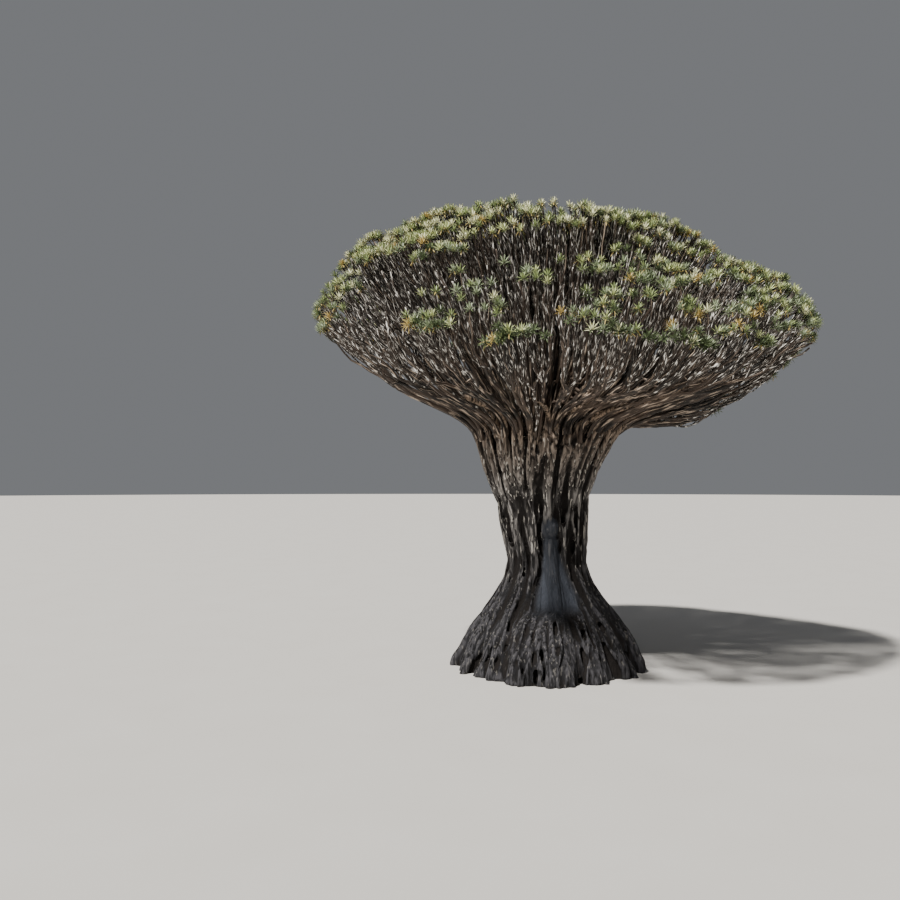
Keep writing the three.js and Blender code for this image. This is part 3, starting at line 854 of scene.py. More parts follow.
@dataclass
class BarkSculptor:
    """Fuses limbs into one skin of bark, and works relief into it."""

    growth: Growth
    voxel: float = 0.036
    smoothing: int = 2
    grain_across: float = 8.5
    grain_along: float = 1.0
    ridge: float = 0.036
    coarse_scale: float = 0.5
    fine_share: float = 0.7
    crack_scale: float = 0.8
    crack_width: float = 0.16
    crack_share: float = 1.1
    lump_share: float = 1.6
    lump_scale: tuple[float, float, float] = (1.3, 1.3, 0.7)
    close_rounds: int = 12
    wide_rounds: int = 50
    full_relief: float = 1.5
    broad_relief: tuple[float, float] = (-0.7, 0.3)
    most_triangles: int = 300000

    def fuse(self, limbs: list[bpy.types.Object], name: str) -> bpy.types.Object:
        """Joins limbs into one closed skin.

        Args:
            limbs: The limbs, which run into each other.
            name: The fused piece's name.

        Returns:
            The fused piece.
        """
        select_only(limbs)
        bpy.ops.object.join()
        piece = bpy.context.object
        piece.name = name
        piece.data.name = name
        apply_modifier(piece, "REMESH", mode="VOXEL", voxel_size=self.voxel)
        apply_modifier(piece, "SMOOTH", factor=0.5, iterations=self.smoothing)
        self.cut(piece, 0.0, keep_above=True)
        return piece

    def cut(self, piece: bpy.types.Object, height: float, keep_above: bool) -> None:
        """Cuts a piece level and closes the cut.

        Args:
            piece: The piece to cut.
            height: Where it is cut.
            keep_above: Whether the part above the cut is kept, or the part below.
        """
        select_only([piece])
        bpy.ops.object.mode_set(mode="EDIT")
        bpy.ops.mesh.select_all(action="SELECT")
        bpy.ops.mesh.bisect(
            plane_co=(0.0, 0.0, height),
            plane_no=(0.0, 0.0, 1.0),
            use_fill=True,
            clear_inner=keep_above,
            clear_outer=not keep_above,
        )
        bpy.ops.object.mode_set(mode="OBJECT")

    def flow(self, places: Array) -> Array:
        """Returns places unrolled along the fan's lines, so that a pattern on them follows the limbs."""
        x = places[:, 0] - self.growth.sideways(places[:, 2])
        spread = self.growth.head_radius / self.growth.fan_radius(places[:, 2])
        return np.stack([x * spread, places[:, 1] * spread, places[:, 2]], axis=1)

    def carve(self, piece: bpy.types.Object) -> None:
        """Raises ridges that run along the limbs, then thins the mesh out where it is plain.

        Args:
            piece: The fused piece.
        """
        mesh = piece.data
        places = vertex_places(mesh)
        grain = np.array([self.grain_across, self.grain_across, self.grain_along])
        flow = self.flow(places)
        coarse = lattice_noise(flow * grain * self.coarse_scale, Noise.COARSE_RIDGES)
        fine = lattice_noise(flow * grain, Noise.FINE_RIDGES)
        off_crack = lattice_noise(flow * grain * self.crack_scale, Noise.CRACKS)
        cracks = -np.exp(-((off_crack / self.crack_width) ** 2))
        lumps = self.lump_share * lattice_noise(flow * np.array(self.lump_scale), Noise.LUMPS)
        height = self.ridge * (coarse + fine * self.fine_share + cracks * self.crack_share + lumps)
        off_ground = smoothstep(places[:, 2], 0.0, 0.1)
        move_vertices(mesh, places + vertex_normals(mesh) * height[:, None] * off_ground[:, None])
        triangles = sum(len(polygon.vertices) - 2 for polygon in mesh.polygons)
        log.info("bark before thinning: %d triangles", triangles)
        if triangles > self.most_triangles:
            apply_modifier(piece, "DECIMATE", ratio=self.most_triangles / triangles)
        self.store_relief(piece.data)

    def store_relief(self, mesh: bpy.types.Mesh) -> None:
        """Stores how far each place stands out of its surroundings, from -1 in a cleft to 1 on a ridge.

        Args:
            mesh: The mesh to read and to store it on.
        """
        places = vertex_places(mesh)
        outward = vertex_normals(mesh)
        close = smoothed_places(mesh, places, self.close_rounds)
        wide = smoothed_places(mesh, close, self.wide_rounds)
        full = self.full_relief * self.ridge
        fine = np.einsum("ij,ij->i", places - close, outward) / full
        broad = np.einsum("ij,ij->i", close - wide, outward) / full
        # The bark's material reads this relief to paint shade in the clefts and highlights on the ridges
        add_attribute(mesh, "relief", np.clip(fine + np.clip(broad, *self.broad_relief), -1.0, 1.0))


@dataclass(frozen=True)
class GreatLimb:
    """A thick old limb on the fan: its heights, its direction at each, and its radius at the trunk."""

    heights: tuple[float, ...]
    angles: tuple[float, ...]
    radius: float


@dataclass(frozen=True)
class CordSizes:
    """The cords of bark, which run from the ground up the trunk and gather on the rim's boughs."""

    count: int = 40
    jitter: float = 0.25
    stations: int = 60
    bottom: float = -0.1
    top: float = 9.8
    top_spread: float = 1.6
    radius: float = 0.132
    radius_spread: tuple[float, float] = (0.8, 1.25)
    cleft_height: float = 5.5
    most_cleft: float = 0.35
    wander: float = 0.1
    wander_rates: tuple[float, float] = (0.8, 1.7)
    swell: float = 0.22
    swell_rates: tuple[float, float] = (1.2, 2.6)
    gather: float = 0.5
    gather_heights: tuple[float, float] = (5.6, 8.4)
    foot_swell: float = 0.35
    foot_height: float = 3.6
    thinning: float = 0.3
    thinning_heights: tuple[float, float] = (6.4, 8.6)
    sink: float = 0.7
    out_spread: float = 0.08
    head_sink: float = 0.06
    head_heights: tuple[float, float] = (7.0, 9.0)
    tip_stations: int = 6
    tip_share: float = 0.2


@dataclass(frozen=True)
class StrandSizes:
    """The thin roots that lie over the cords, each for a part of the trunk's height."""

    count: int = 300
    stations: int = 24
    bottoms: tuple[float, float] = (-0.2, 5.0)
    lengths: tuple[float, float] = (1.4, 3.4)
    top: float = 7.8
    radii: tuple[float, float] = (0.045, 0.08)
    end_share: float = 0.15
    most_cleft: float = 0.25
    wander: float = 0.12
    wander_rates: tuple[float, float] = (0.8, 1.6)
    foot_swell: float = 0.5
    foot_height: float = 3.0
    out: tuple[float, float] = (-0.02, 0.04)


@dataclass(frozen=True)
class RootSizes:
    """The roots of many sizes that widen the foot, from under the waist to the ground."""

    count: int = 84
    jitter: float = 0.35
    stations: int = 24
    bottom: float = -0.1
    tops: tuple[float, float] = (1.4, 3.8)
    radii: tuple[float, float] = (0.07, 0.16)
    top_share: float = 0.3
    turn: float = 0.12
    turn_height: float = 2.5
    flares: tuple[float, float] = (-0.3, 0.26)
    flare_height: float = 0.7
    sink: float = 0.3


@dataclass(frozen=True)
class SkirtSizes:
    """The skirt of hanging roots on the mound at the foot's front."""

    count: int = 42
    jitter: float = 0.45
    stations: int = 24
    angles: tuple[float, float] = (-132.0, -68.0)
    bottom: float = -0.1
    top: float = 2.55
    top_fall: float = 1.2
    top_at: float = 0.6
    top_spread: tuple[float, float] = (-0.3, 0.2)
    radii: tuple[float, float] = (0.045, 0.09)
    knots: float = 0.15
    knot_rate: float = 5.0
    sway: float = 0.025
    sway_rate: float = 3.0
    out: tuple[float, float] = (0.03, 0.18)
    tip_stations: int = 4
    tip_share: float = 0.4


@dataclass
class Trunk:
    """The trunk: cords of bark on a flared foot, with clefts, a smooth tongue and a skirt of roots."""

    growth: Growth
    spaces: list[Space]
    cords: CordSizes = CordSizes()
    strands: StrandSizes = StrandSizes()
    roots: RootSizes = RootSizes()
    skirt: SkirtSizes = SkirtSizes()
    # The core under the cords
    body_share: float = 0.86
    foot_share: float = 0.945
    body_bottom: float = -0.15
    body_closing_height: float = 5.4
    body_top: float = 9.4
    top_share: float = 0.12
    # Its forms in and out
    clefts: tuple[TrunkForm, ...] = (
        TrunkForm("left cleft", -101.0, 9.0, (3.7, 4.3, 6.7, 7.3), -0.55),
        TrunkForm("right cleft", -70.5, 9.0, (4.4, 5.0, 6.9, 7.5), -0.55),
    )
    swellings: tuple[TrunkForm, ...] = (
        TrunkForm("mound of roots", -100.0, 40.0, (-1.0, -0.5, 1.3, 2.5), 0.33),
        TrunkForm("smooth root", -87.0, 15.0, (1.8, 2.4, 3.2, 5.2), 0.23),
    )
    # The smooth tongue of root, and the knob above it
    tongue_angle: float = -87.0
    tongue_half_widths: tuple[float, float] = (24.0, 12.0)
    tongue_heights: tuple[float, float, float, float] = (1.9, 2.5, 4.5, 5.0)
    tongue_rise: float = 0.24
    tongue_sink: float = 0.26
    tongue_edge: tuple[float, float] = (0.7, 1.15)
    knob_height: float = 5.0
    knob_reach: float = 0.28
    knob_half_height: float = 0.3
    knob_radius: float = 0.25
    knob_sink: float = 0.06
    knob_edge: tuple[float, float] = (1.0, 1.4)
    # The great limbs on the fan
    great_rounds: int = 6
    great_tips: tuple[float, ...] = (0.9, 0.7, 0.4)
    great_thinning: float = 0.45
    great_thinning_height: float = 7.5
    great_root_share: float = 0.3
    great_root_length: float = 1.8
    great_root_sink: float = 0.16
    great_out_share: float = 0.3
    great_out_height: float = 7.4
    great_limbs: tuple[GreatLimb, ...] = (
        GreatLimb((5.6, 7.2, 8.7, 9.6, 10.3, 10.75), (-63.0, -64.0, -64.0, -57.0, -45.0, -31.0), 0.2),
        GreatLimb((5.6, 7.8, 8.6, 9.1, 9.9), (-55.0, -54.0, -42.0, -30.0, -8.0), 0.19),
        GreatLimb((5.2, 7.2, 8.6, 9.4, 10.3), (-77.0, -75.0, -77.0, -80.0, -77.0), 0.15),
        GreatLimb((5.2, 7.2, 8.4, 9.4, 10.2), (-98.0, -100.0, -95.0, -97.0, -106.0), 0.16),
        GreatLimb((6.6, 7.8, 8.8, 9.8, 10.9), (-86.0, -87.0, -85.0, -83.0, -86.0), 0.12),
        GreatLimb((5.0, 7.0, 8.4, 9.2, 10.0), (-128.0, -130.0, -134.0, -130.0, -137.0), 0.19),
        GreatLimb((5.0, 7.0, 8.4, 9.2, 10.2), (-152.0, -154.0, -158.0, -163.0, -160.0), 0.2),
        GreatLimb((5.0, 7.0, 8.4, 9.4, 10.0), (150.0, 152.0, 148.0, 143.0, 147.0), 0.19),
        GreatLimb((5.0, 7.0, 8.4, 9.4, 10.0), (95.0, 92.0, 96.0, 103.0, 101.0), 0.2),
        GreatLimb((5.0, 7.0, 8.4, 9.4, 10.0), (44.0, 47.0, 42.0, 36.0, 40.0), 0.2),
    )
    seed: int = 21

    def cleft(self, angle: Array | float, height: Array | float) -> Array:
        """Returns how deep in a cleft a direction and height are, from 0 to 1."""
        return sum(form.relief(angle, height) / form.out for form in self.clefts)

    def swelling(self, angle: Array | float, height: Array | float) -> Array:
        """Returns how far the skin swells out on the flutes, the mound of roots and the smooth root."""
        return self.growth.fluting(angle, height) + sum(form.relief(angle, height) for form in self.swellings)

    def smoothness(self, angle: Array | float, height: Array | float) -> Array:
        """Works out where the smooth tongue of root is.

        Args:
            angle: The direction from the axis, in radians.
            height: The height.

        Returns:
            A share from 0 off the tongue to 1 on it.
        """
        low, low_full, high_full, high = self.tongue_heights
        half_width = np.radians(mix(*self.tongue_half_widths, smoothstep(height, low_full, high_full)))
        away = np.abs(turn_from(math.radians(self.tongue_angle), angle))
        along = smoothstep(height, low, low_full) * (1.0 - smoothstep(height, high_full, high))
        return along * (1.0 - smoothstep(away / half_width, *self.tongue_edge))

    def body(self) -> bpy.types.Object:
        """Returns the trunk's core, which the cords stand on, and which shows at the tongue of root."""
        maker = LimbMaker(sides=120, rows=60)
        axis = np.array([[0.0, 0.0, self.body_bottom], [0.0, 0.0, self.body_top]])
        core = maker.lay(Path(axis, np.array([1.0, 1.0])))
        maker.remove()
        places = vertex_places(core.data)
        height = places[:, 2]
        angle = np.arctan2(places[:, 1], places[:, 0])
        is_rim = np.hypot(places[:, 0], places[:, 1]) > 0.5
        closing = mix(1.0, self.top_share, smoothstep(height, self.body_closing_height, self.body_top))
        share = mix(self.foot_share, self.body_share, smoothstep(height, 0.0, self.growth.waist_height))
        radius = self.growth.fan_radius(height) * share * closing + self.swelling(angle, height)
        radius = radius + self.clefts[0].out * self.cleft(angle, height)
        radius = (radius + self.tongue_rise * self.smoothness(angle, height)) * is_rim
        x = radius * np.cos(angle) + self.growth.sideways(height)
        move_vertices(core.data, np.stack([x, radius * np.sin(angle), height], axis=1))
        return core

    def surface(self, angle: Array, height: Array, out: Array | float) -> Array:
        """Works out points on the trunk, and on the rim's boughs above it.

        Args:
            angle: Their directions from the axis, in radians.
            height: Their heights.
            out: How far they stand out of the plain surface.

        Returns:
            The points, n by 3.
        """
        share = self.spaces[0].ring.share
        out = out + self.swelling(angle, height) - self.tongue_sink * self.smoothness(angle, height)
        share = share + out / self.growth.fan_radius(height)
        return self.growth.fan_point(share * (1.0 - self.growth.hollow(angle, height)), angle, height)

    def nearest_bough(self, angle: float) -> float:
        """Returns the direction of the rim's bough that is nearest to a direction."""
        rim = [space.angle for space in self.spaces if space.ring.name == "rim"]
        return angle + min((float(turn_from(angle, other)) for other in rim), key=abs)

    def cord_paths(self, random: np.random.Generator) -> list[Path]:
        """Lays out the cords that run from the ground up the trunk and gather on the boughs.

        Args:
            random: The seeded source of chance.

        Returns:
            The cords' paths.
        """
        sizes = self.cords
        paths = []
        for index in range(sizes.count):
            start = (index + random.uniform(-sizes.jitter, sizes.jitter)) / sizes.count * math.tau
            if self.cleft(start, sizes.cleft_height) > sizes.most_cleft:
                continue
            size = sizes.radius * random.uniform(*sizes.radius_spread)
            top = sizes.top - random.uniform(0.0, sizes.top_spread)
            height = np.linspace(sizes.bottom, top, sizes.stations)
            wander = sizes.wander * wave(height, sizes.wander_rates, random)
            swell = 1.0 + sizes.swell * wave(height, sizes.swell_rates, random)
            gather = sizes.gather * smoothstep(height, *sizes.gather_heights)
            angle = mix(start + wander, self.nearest_bough(start), gather)
            foot = 1.0 + sizes.foot_swell * (1.0 - smoothstep(height, 0.0, sizes.foot_height))
            radii = size * swell * foot
            radii = radii * (1.0 - sizes.thinning * smoothstep(height, *sizes.thinning_heights))
            taper(radii, sizes.tip_stations, sizes.tip_share)
            out = -sizes.sink * radii + random.uniform(-sizes.out_spread, sizes.out_spread)
            out = out - sizes.head_sink * smoothstep(height, *sizes.head_heights)
            paths.append(Path(self.surface(angle, height, out), radii))
        return paths

    def great_paths(self) -> list[Path]:
        """Returns the thick old limbs that stand out of the fan."""
        paths = []
        for limb in self.great_limbs:
            height = np.linspace(limb.heights[0], limb.heights[-1], 40)
            angle = np.radians(np.interp(height, limb.heights, limb.angles))
            for _ in range(self.great_rounds):
                angle[1:-1] = (angle[:-2] + angle[1:-1] + angle[2:]) / 3.0
            thinning = smoothstep(height, self.great_thinning_height, height[-1])
            radii = limb.radius * mix(1.0, self.great_thinning, thinning)
            rooting = smoothstep(height, height[0], height[0] + self.great_root_length)
            radii = radii * mix(self.great_root_share, 1.0, rooting)
            emerging = smoothstep(height, height[0], self.great_out_height)
            out = mix(-self.great_root_sink, self.great_out_share * limb.radius, emerging)
            radii[-len(self.great_tips):] *= np.array(self.great_tips)
            paths.append(Path(self.surface(angle, height, out), radii))
        return paths

    def strand_paths(self, random: np.random.Generator) -> list[Path]:
        """Lays out thin roots that lie over the cords, each for part of the trunk's height.

        Args:
            random: The seeded source of chance.

        Returns:
            The roots' paths.
        """
        sizes = self.strands
        paths = []
        for _ in range(sizes.count):
            start = random.uniform(-math.pi, math.pi)
            low = random.uniform(*sizes.bottoms)
            height = np.linspace(low, min(low + random.uniform(*sizes.lengths), sizes.top), sizes.stations)
            angle = start + sizes.wander * wave(height, sizes.wander_rates, random)
            swell = np.sin(np.linspace(0.1, math.pi - 0.1, len(height)))
            widening = 1.0 + sizes.foot_swell * (1.0 - smoothstep(height, 0.0, sizes.foot_height))
            radii = random.uniform(*sizes.radii) * mix(sizes.end_share, 1.0, swell) * widening
            if self.cleft(start, height.mean()) > sizes.most_cleft:
                continue
            paths.append(Path(self.surface(angle, height, random.uniform(*sizes.out)), radii))
        return paths

    def root_paths(self, random: np.random.Generator) -> list[Path]:
        """Lays out roots that widen the foot, of many sizes, from under the waist to the ground.

        Args:
            random: The seeded source of chance.

        Returns:
            The roots' paths.
        """
        sizes = self.roots
        paths = []
        for index in range(sizes.count):
            start = (index + random.uniform(-sizes.jitter, sizes.jitter)) / sizes.count * math.tau
            height = np.linspace(sizes.bottom, random.uniform(*sizes.tops), sizes.stations)
            turning = sizes.turn * (1.0 - smoothstep(height, 0.0, sizes.turn_height))
            angle = start + turning * random.uniform(-1.0, 1.0)
            size = random.uniform(*sizes.radii)
            radii = size * mix(sizes.top_share, 1.0, 1.0 - smoothstep(height, 0.0, height[-1]))
            flaring = 1.0 - smoothstep(height, 0.0, sizes.flare_height)
            flare = max(0.0, random.uniform(*sizes.flares)) * flaring
            paths.append(Path(self.surface(angle, height, flare - sizes.sink * radii), radii))
        return paths

    def skirt_paths(self, random: np.random.Generator) -> list[Path]:
        """Lays out the skirt of hanging roots on the mound at the foot's front.

        Args:
            random: The seeded source of chance.

        Returns:
            The roots' paths.
        """
        sizes = self.skirt
        paths = []
        for index in range(sizes.count):
            along = (index + random.uniform(-sizes.jitter, sizes.jitter)) / (sizes.count - 1)
            start = math.radians(mix(*sizes.angles, along))
            top = sizes.top - sizes.top_fall * abs(along - sizes.top_at) + random.uniform(*sizes.top_spread)
            height = np.linspace(sizes.bottom, top, sizes.stations)
            knots = np.sin(height * sizes.knot_rate + index)
            radii = random.uniform(*sizes.radii) * (1.0 + sizes.knots * knots)
            taper(radii, sizes.tip_stations, sizes.tip_share)
            sway = sizes.sway * np.sin(height * sizes.sway_rate + index * 2.0)
            paths.append(Path(self.surface(start + sway, height, random.uniform(*sizes.out)), radii))
        return paths

    def knob_path(self) -> Path:
        """Returns the knob above the tongue of root."""
        height = np.linspace(self.knob_height - self.knob_reach, self.knob_height + self.knob_reach, 12)
        angle = np.full(len(height), math.radians(self.tongue_angle))
        rounding = 1.0 - ((height - self.knob_height) / self.knob_half_height) ** 2
        radii = self.knob_radius * np.sqrt(np.clip(rounding, 0.02, 1.0))
        return Path(self.surface(angle, height, -self.knob_sink), radii)

    def limbs(self) -> list[bpy.types.Object]:
        """Returns the body and all that is fused onto it."""
        random = np.random.default_rng(self.seed)
        paths = self.cord_paths(random) + self.strand_paths(random) + self.root_paths(random)
        paths += self.great_paths() + self.skirt_paths(random) + [self.knob_path()]
        maker = LimbMaker(sides=10, rows=44)
        limbs = [self.body()] + [maker.lay(path) for path in paths]
        maker.remove()
        return limbs

    def mark_smooth_bark(self, piece: bpy.types.Object) -> None:
        """Stores where the bark is smooth and blue grey: on the tongue of root and the knob.

        Args:
            piece: The piece to mark.
        """
        places = vertex_places(piece.data)
        height = places[:, 2]
        angle = np.arctan2(places[:, 1], places[:, 0] - self.growth.sideways(height))
        marked = self.smoothness(angle, height)
        knob = self.knob_path()
        for centre, radius in zip(knob.centres, knob.radii):
            away = np.linalg.norm(places - centre, axis=1) / radius
            marked = np.maximum(marked, 1.0 - smoothstep(away, *self.knob_edge))
        add_attribute(piece.data, "smooth_bark", marked)


@dataclass
class Fork:
    """A fork of a mass's twigs.

    Its place is in the crown's plan, where the crown's radius is 1. Its height is the one before any drop. It
    carries some rosettes, and its branches end in further forks, down to a rosette's own place.
    """

    place: Array
    height: float
    point: Array
    carried: int
    is_bare: bool = False
    branches: list["Fork"] = field(default_factory=list)


@dataclass(frozen=True)
class Tuft:
    """A patch of rosettes on the crown's bare front.

    It has a turn in degrees to the right of the front, and a share of the crown's radius. Half its width and
    half its depth are in the same two measures.
    """

    turn: float
    share: float
    half_width: float
    half_depth: float


@dataclass
class Rosette:
    """The end of a twig: its place and the direction that it grows in."""

    place: Array
    direction: Array


@dataclass
class Crown:
    """Grows the masses by the seeded rule, to finer twigs than the solids have.

    The first forks of each mass lie in its bough, which is a bundle of limbs that part above the trunk.
    """

    growth: Growth
    spaces: list[Space]
    # How rosettes are spread over the dome
    rosette_count: int = 3600
    dome_samples: int = 60000
    settling_rounds: int = 18
    slope_step: float = 0.005
    most_slope: float = 2.0
    tip_depth: float = 0.22
    rim_push: float = 0.05
    rim_sharpness: int = 6
    # Where twigs fork
    fork_outward: float = 0.12
    fork_start_height: float = 8.7
    # The clumps of rosettes
    clump_size: int = 17
    least_clump: float = 0.35
    clump_rise: float = 0.17
    inner_rise_share: float = 0.2
    inner_zone: tuple[float, float] = (0.3, 0.55)
    clump_flatness: float = 0.5
    clump_roundness: float = 0.16
    clump_gather: float = 0.88
    lowest_rise: float = -1.4
    highest_rise: float = 0.2
    tip_rise: float = 0.06
    # The twigs' thickness, forks and bends
    tip_radius: float = 0.026
    thickening: float = 0.38
    bundle_splits: int = 4
    fork_lateness: float = 1.3
    fork_thinning: float = 0.75
    fork_behind: float = 1.6
    fork_ahead: float = 0.4
    bend_length: float = 0.28
    most_bends: int = 4
    easy_bending: float = 1.4
    wobble: float = 0.03
    # The bundles of limbs in the boughs, and where they leave the skin of bark
    bundle_low: float = 4.6
    bundle_low_share: float = 0.74
    bundle_stations: int = 48
    parting_height: float = 6.9
    bundle_offset: float = 0.12
    bundle_spread: float = 0.58
    bundle_radius: float = 1.25
    bundle_thickness: tuple[float, float] = (0.75, 1.6)
    skin_height: float = 8.7
    skin_height_spread: tuple[float, float] = (-0.4, 0.3)
    skin_overlap: float = 0.4
    fork_clearance: float = 0.1
    limb_step: int = 3
    limb_inset: float = 0.97
    # The bare front, by turns in degrees and shares of the crown's radius
    bare_left: float = 0.96
    bare_left_turns: tuple[float, float] = (-72.0, -52.0)
    bare_middle_turns: tuple[float, float] = (-10.0, 15.0)
    bare_right: float = 0.62
    bare_right_turns: tuple[float, float] = (50.0, 72.0)
    fringe_shares: tuple[float, float] = (0.57, 0.79)
    fringe_turns: tuple[float, float] = (25.0, 50.0)
    fringe_fade: float = 0.06
    bare_drop: tuple[float, float] = (0.25, 0.9)
    bare_twigs: float = 0.5
    patch_size: float = 0.075
    patch_edge: float = 0.4
    patch_share: float = 0.7
    tuft_edge: tuple[float, float] = (0.8, 1.15)
    # How the spaces' borders wander
    wander: float = 0.05
    wander_size: float = 0.12
    rim_shares: tuple[float, float] = (0.75, 0.95)
    # The tufts on the bare front
    tufts: tuple[Tuft, ...] = (
        Tuft(-26.0, 0.955, 10.5, 0.035),
        Tuft(-33.0, 1.0, 5.5, 0.025),
        Tuft(-14.0, 0.99, 6.5, 0.03),
        Tuft(-27.0, 0.88, 5.0, 0.02),
        Tuft(-12.0, 0.86, 4.0, 0.03),
        Tuft(-3.0, 0.95, 5.0, 0.03),
        Tuft(1.0, 1.0, 3.5, 0.05),
        Tuft(9.0, 0.99, 4.0, 0.05),
        Tuft(17.0, 0.98, 5.0, 0.04),
        Tuft(27.0, 0.96, 6.0, 0.06),
        Tuft(38.0, 0.95, 6.0, 0.06),
    )
    seed: int = 7

    def spread_over_dome(self) -> float:
        """Deals even points of the dome out to the spaces, each with the area it stands for.

        Returns:
            The whole area.
        """
        number = np.arange(self.dome_samples)
        share = np.sqrt((number + 0.5) / self.dome_samples)
        angle = number * GOLDEN_ANGLE
        step = self.slope_step
        fall = self.growth.dome_height(share - step) - self.growth.dome_height(share + step)
        slope = fall / (2.0 * step * self.growth.crown_radius)
        weight = np.hypot(1.0, np.minimum(slope, self.most_slope))
        plane = np.stack([share * np.cos(angle), share * np.sin(angle), weight], axis=1)
        for space in self.spaces:
            in_ring = (share >= space.ring.inner) & (share < space.ring.outer)
            in_turn = np.abs(turn_from(space.angle, angle)) <= space.half_angle + 1e-9
            space.samples = plane[in_ring & in_turn]
        return float(weight.sum())

    def rosette_places(self, space: Space, count: int, random: np.random.Generator) -> tuple[Array, Array]:
        """Settles rosettes in the middles of even patches of a space.

        Args:
            space: The space, with its samples.
            count: How many rosettes it has.
            random: The seeded source of chance.

        Returns:
            Their places in the plan, n by 2, and which of them are only bare twigs.
        """
        points = space.samples[:, :2]
        weight = space.samples[:, 2]
        places = points[random.choice(len(points), count, replace=False)]
        for _ in range(self.settling_rounds):
            distance = ((points[:, None, :] - places[None, :, :]) ** 2).sum(-1)
            nearest = distance.argmin(axis=1)
            total = np.bincount(nearest, weight, count)
            sums = np.stack([np.bincount(nearest, weight * points[:, k], count) for k in range(2)], axis=1)
            places = np.where(total[:, None] > 0, sums / np.maximum(total, 1e-9)[:, None], places)
        places = self.wandered(places)
        push = 1.0 + self.rim_push * np.hypot(places[:, 0], places[:, 1]) ** self.rim_sharpness
        bare = random.random(count) < self.bareness(places)
        kept = ~bare | (random.random(count) < self.bare_twigs)
        bundled = 2**self.bundle_splits
        kept[: max(0, bundled - int(kept[bundled:].sum()))] = True
        return (places * push[:, None])[kept], bare[kept]

    def wandered(self, places: Array) -> Array:
        """Moves places a little, so that the spaces' borders wander too, but none over the rim.

        Args:
            places: Places in the plan, n by 2.

        Returns:
            The moved places, n by 2.
        """
        cells = np.pad(places, ((0, 0), (0, 1))) / self.wander_size
        across = lattice_noise(cells, Noise.WANDER_ACROSS)
        moves = np.stack([across, lattice_noise(cells, Noise.WANDER_ALONG)], axis=1)
        outward = unit(places)
        outer = smoothstep(np.hypot(places[:, 0], places[:, 1]), *self.rim_shares)
        moves = moves - outward * ((moves * outward).sum(axis=1) * outer)[:, None]
        return places + self.wander * moves

    def bareness(self, places: Array) -> Array:
        """Works out how bare of rosettes the crown is: under the fringe at its front, but for the tufts.

        Args:
            places: Places in the plan, n by 2.

        Returns:
            A share for each, from 0 to 1.
        """
        share = np.hypot(places[:, 0], places[:, 1])
        turn = np.degrees(turn_from(FRONT, np.arctan2(places[:, 1], places[:, 0])))
        middle = smoothstep(turn, *self.bare_middle_turns)
        left = smoothstep(turn, *self.bare_left_turns) * (1.0 - middle)
        right = middle * (1.0 - smoothstep(turn, *self.bare_right_turns))
        fringe = mix(*self.fringe_shares, smoothstep(-turn, *self.fringe_turns))
        cells = np.pad(places, ((0, 0), (0, 1))) / self.patch_size
        patch = smoothstep(lattice_noise(cells, Noise.BARE_PATCHES), -self.patch_edge, self.patch_edge)
        bare = left * self.bare_left + right * mix(1.0, patch, self.patch_share) * self.bare_right
        bare = bare * smoothstep(share, fringe, fringe + self.fringe_fade)
        for tuft in self.tufts:
            away = np.hypot((turn - tuft.turn) / tuft.half_width, (share - tuft.share) / tuft.half_depth)
            bare = bare * smoothstep(away, *self.tuft_edge)
        return bare

    def crown_point(self, place: Array, upward: float, rise: float) -> Fork:
        """Places a fork under a place of the crown.

        Args:
            place: The place in the plan.
            upward: How much of the way up to the dome the fork is.
            rise: How far the dome is raised there.

        Returns:
            The fork, with no branches yet.
        """
        share = min(float(np.hypot(place[0], place[1])), 1.0)
        top = self.growth.dome_height(share) - self.tip_depth
        height = float(mix(self.fork_start_height, top, upward))
        outward = 1.0 + self.fork_outward * (1.0 - upward)
        point = self.growth.fan_point(share * outward, math.atan2(place[1], place[0]), height)
        return Fork(place * outward, height, point + UP * rise * upward, 1)

    def grow(
        self, places: Array, bare: Array, rises: Array, everything: int, random: np.random.Generator
    ) -> Fork:
        """Grows a fork and all that it carries.

        Args:
            places: The rosettes that it carries, n by 2.
            bare: Which of them are only bare twigs.
            rises: How far each of them stands over the dome.
            everything: How many rosettes its whole mass has.
            random: The seeded source of chance.

        Returns:
            The fork.
        """
        carried = len(places)
        if carried <= self.clump_size * random.uniform(self.least_clump, 1.0) and not rises.any():
            middle = places.mean(axis=0)
            outer = smoothstep(float(np.hypot(*middle)), *self.inner_zone)
            unevenness = self.clump_rise * mix(self.inner_rise_share, 1.0, outer)
            rises = random.normal(0.0, unevenness) + self.clump_rises(places)
            rises = np.clip(rises, self.lowest_rise, self.highest_rise)
            rises = rises - bare * random.uniform(*self.bare_drop, carried)
            places = mix(middle, places, self.clump_gather)
        upward = 1.0
        if carried > 1:
            upward = (1.0 - math.log2(2 * carried) / math.log2(4 * everything)) ** self.fork_lateness
        jitter = random.uniform(-self.tip_rise, self.tip_rise) if carried == 1 else 0.0
        fork = self.crown_point(places.mean(axis=0), upward, float(rises.mean()) + jitter)
        fork.carried = carried
        fork.is_bare = carried == 1 and bool(bare[0])
        if carried > 1:
            away = places - places.mean(axis=0)
            spread = away.T @ away
            widest = 0.5 * math.atan2(2.0 * spread[0, 1], spread[0, 0] - spread[1, 1])
            order = np.argsort(away @ np.array([math.cos(widest), math.sin(widest)]), kind="stable")
            half = math.ceil(carried / 2)
            for part in (order[:half], order[half:]):
                fork.branches.append(self.grow(places[part], bare[part], rises[part], everything, random))
        return fork

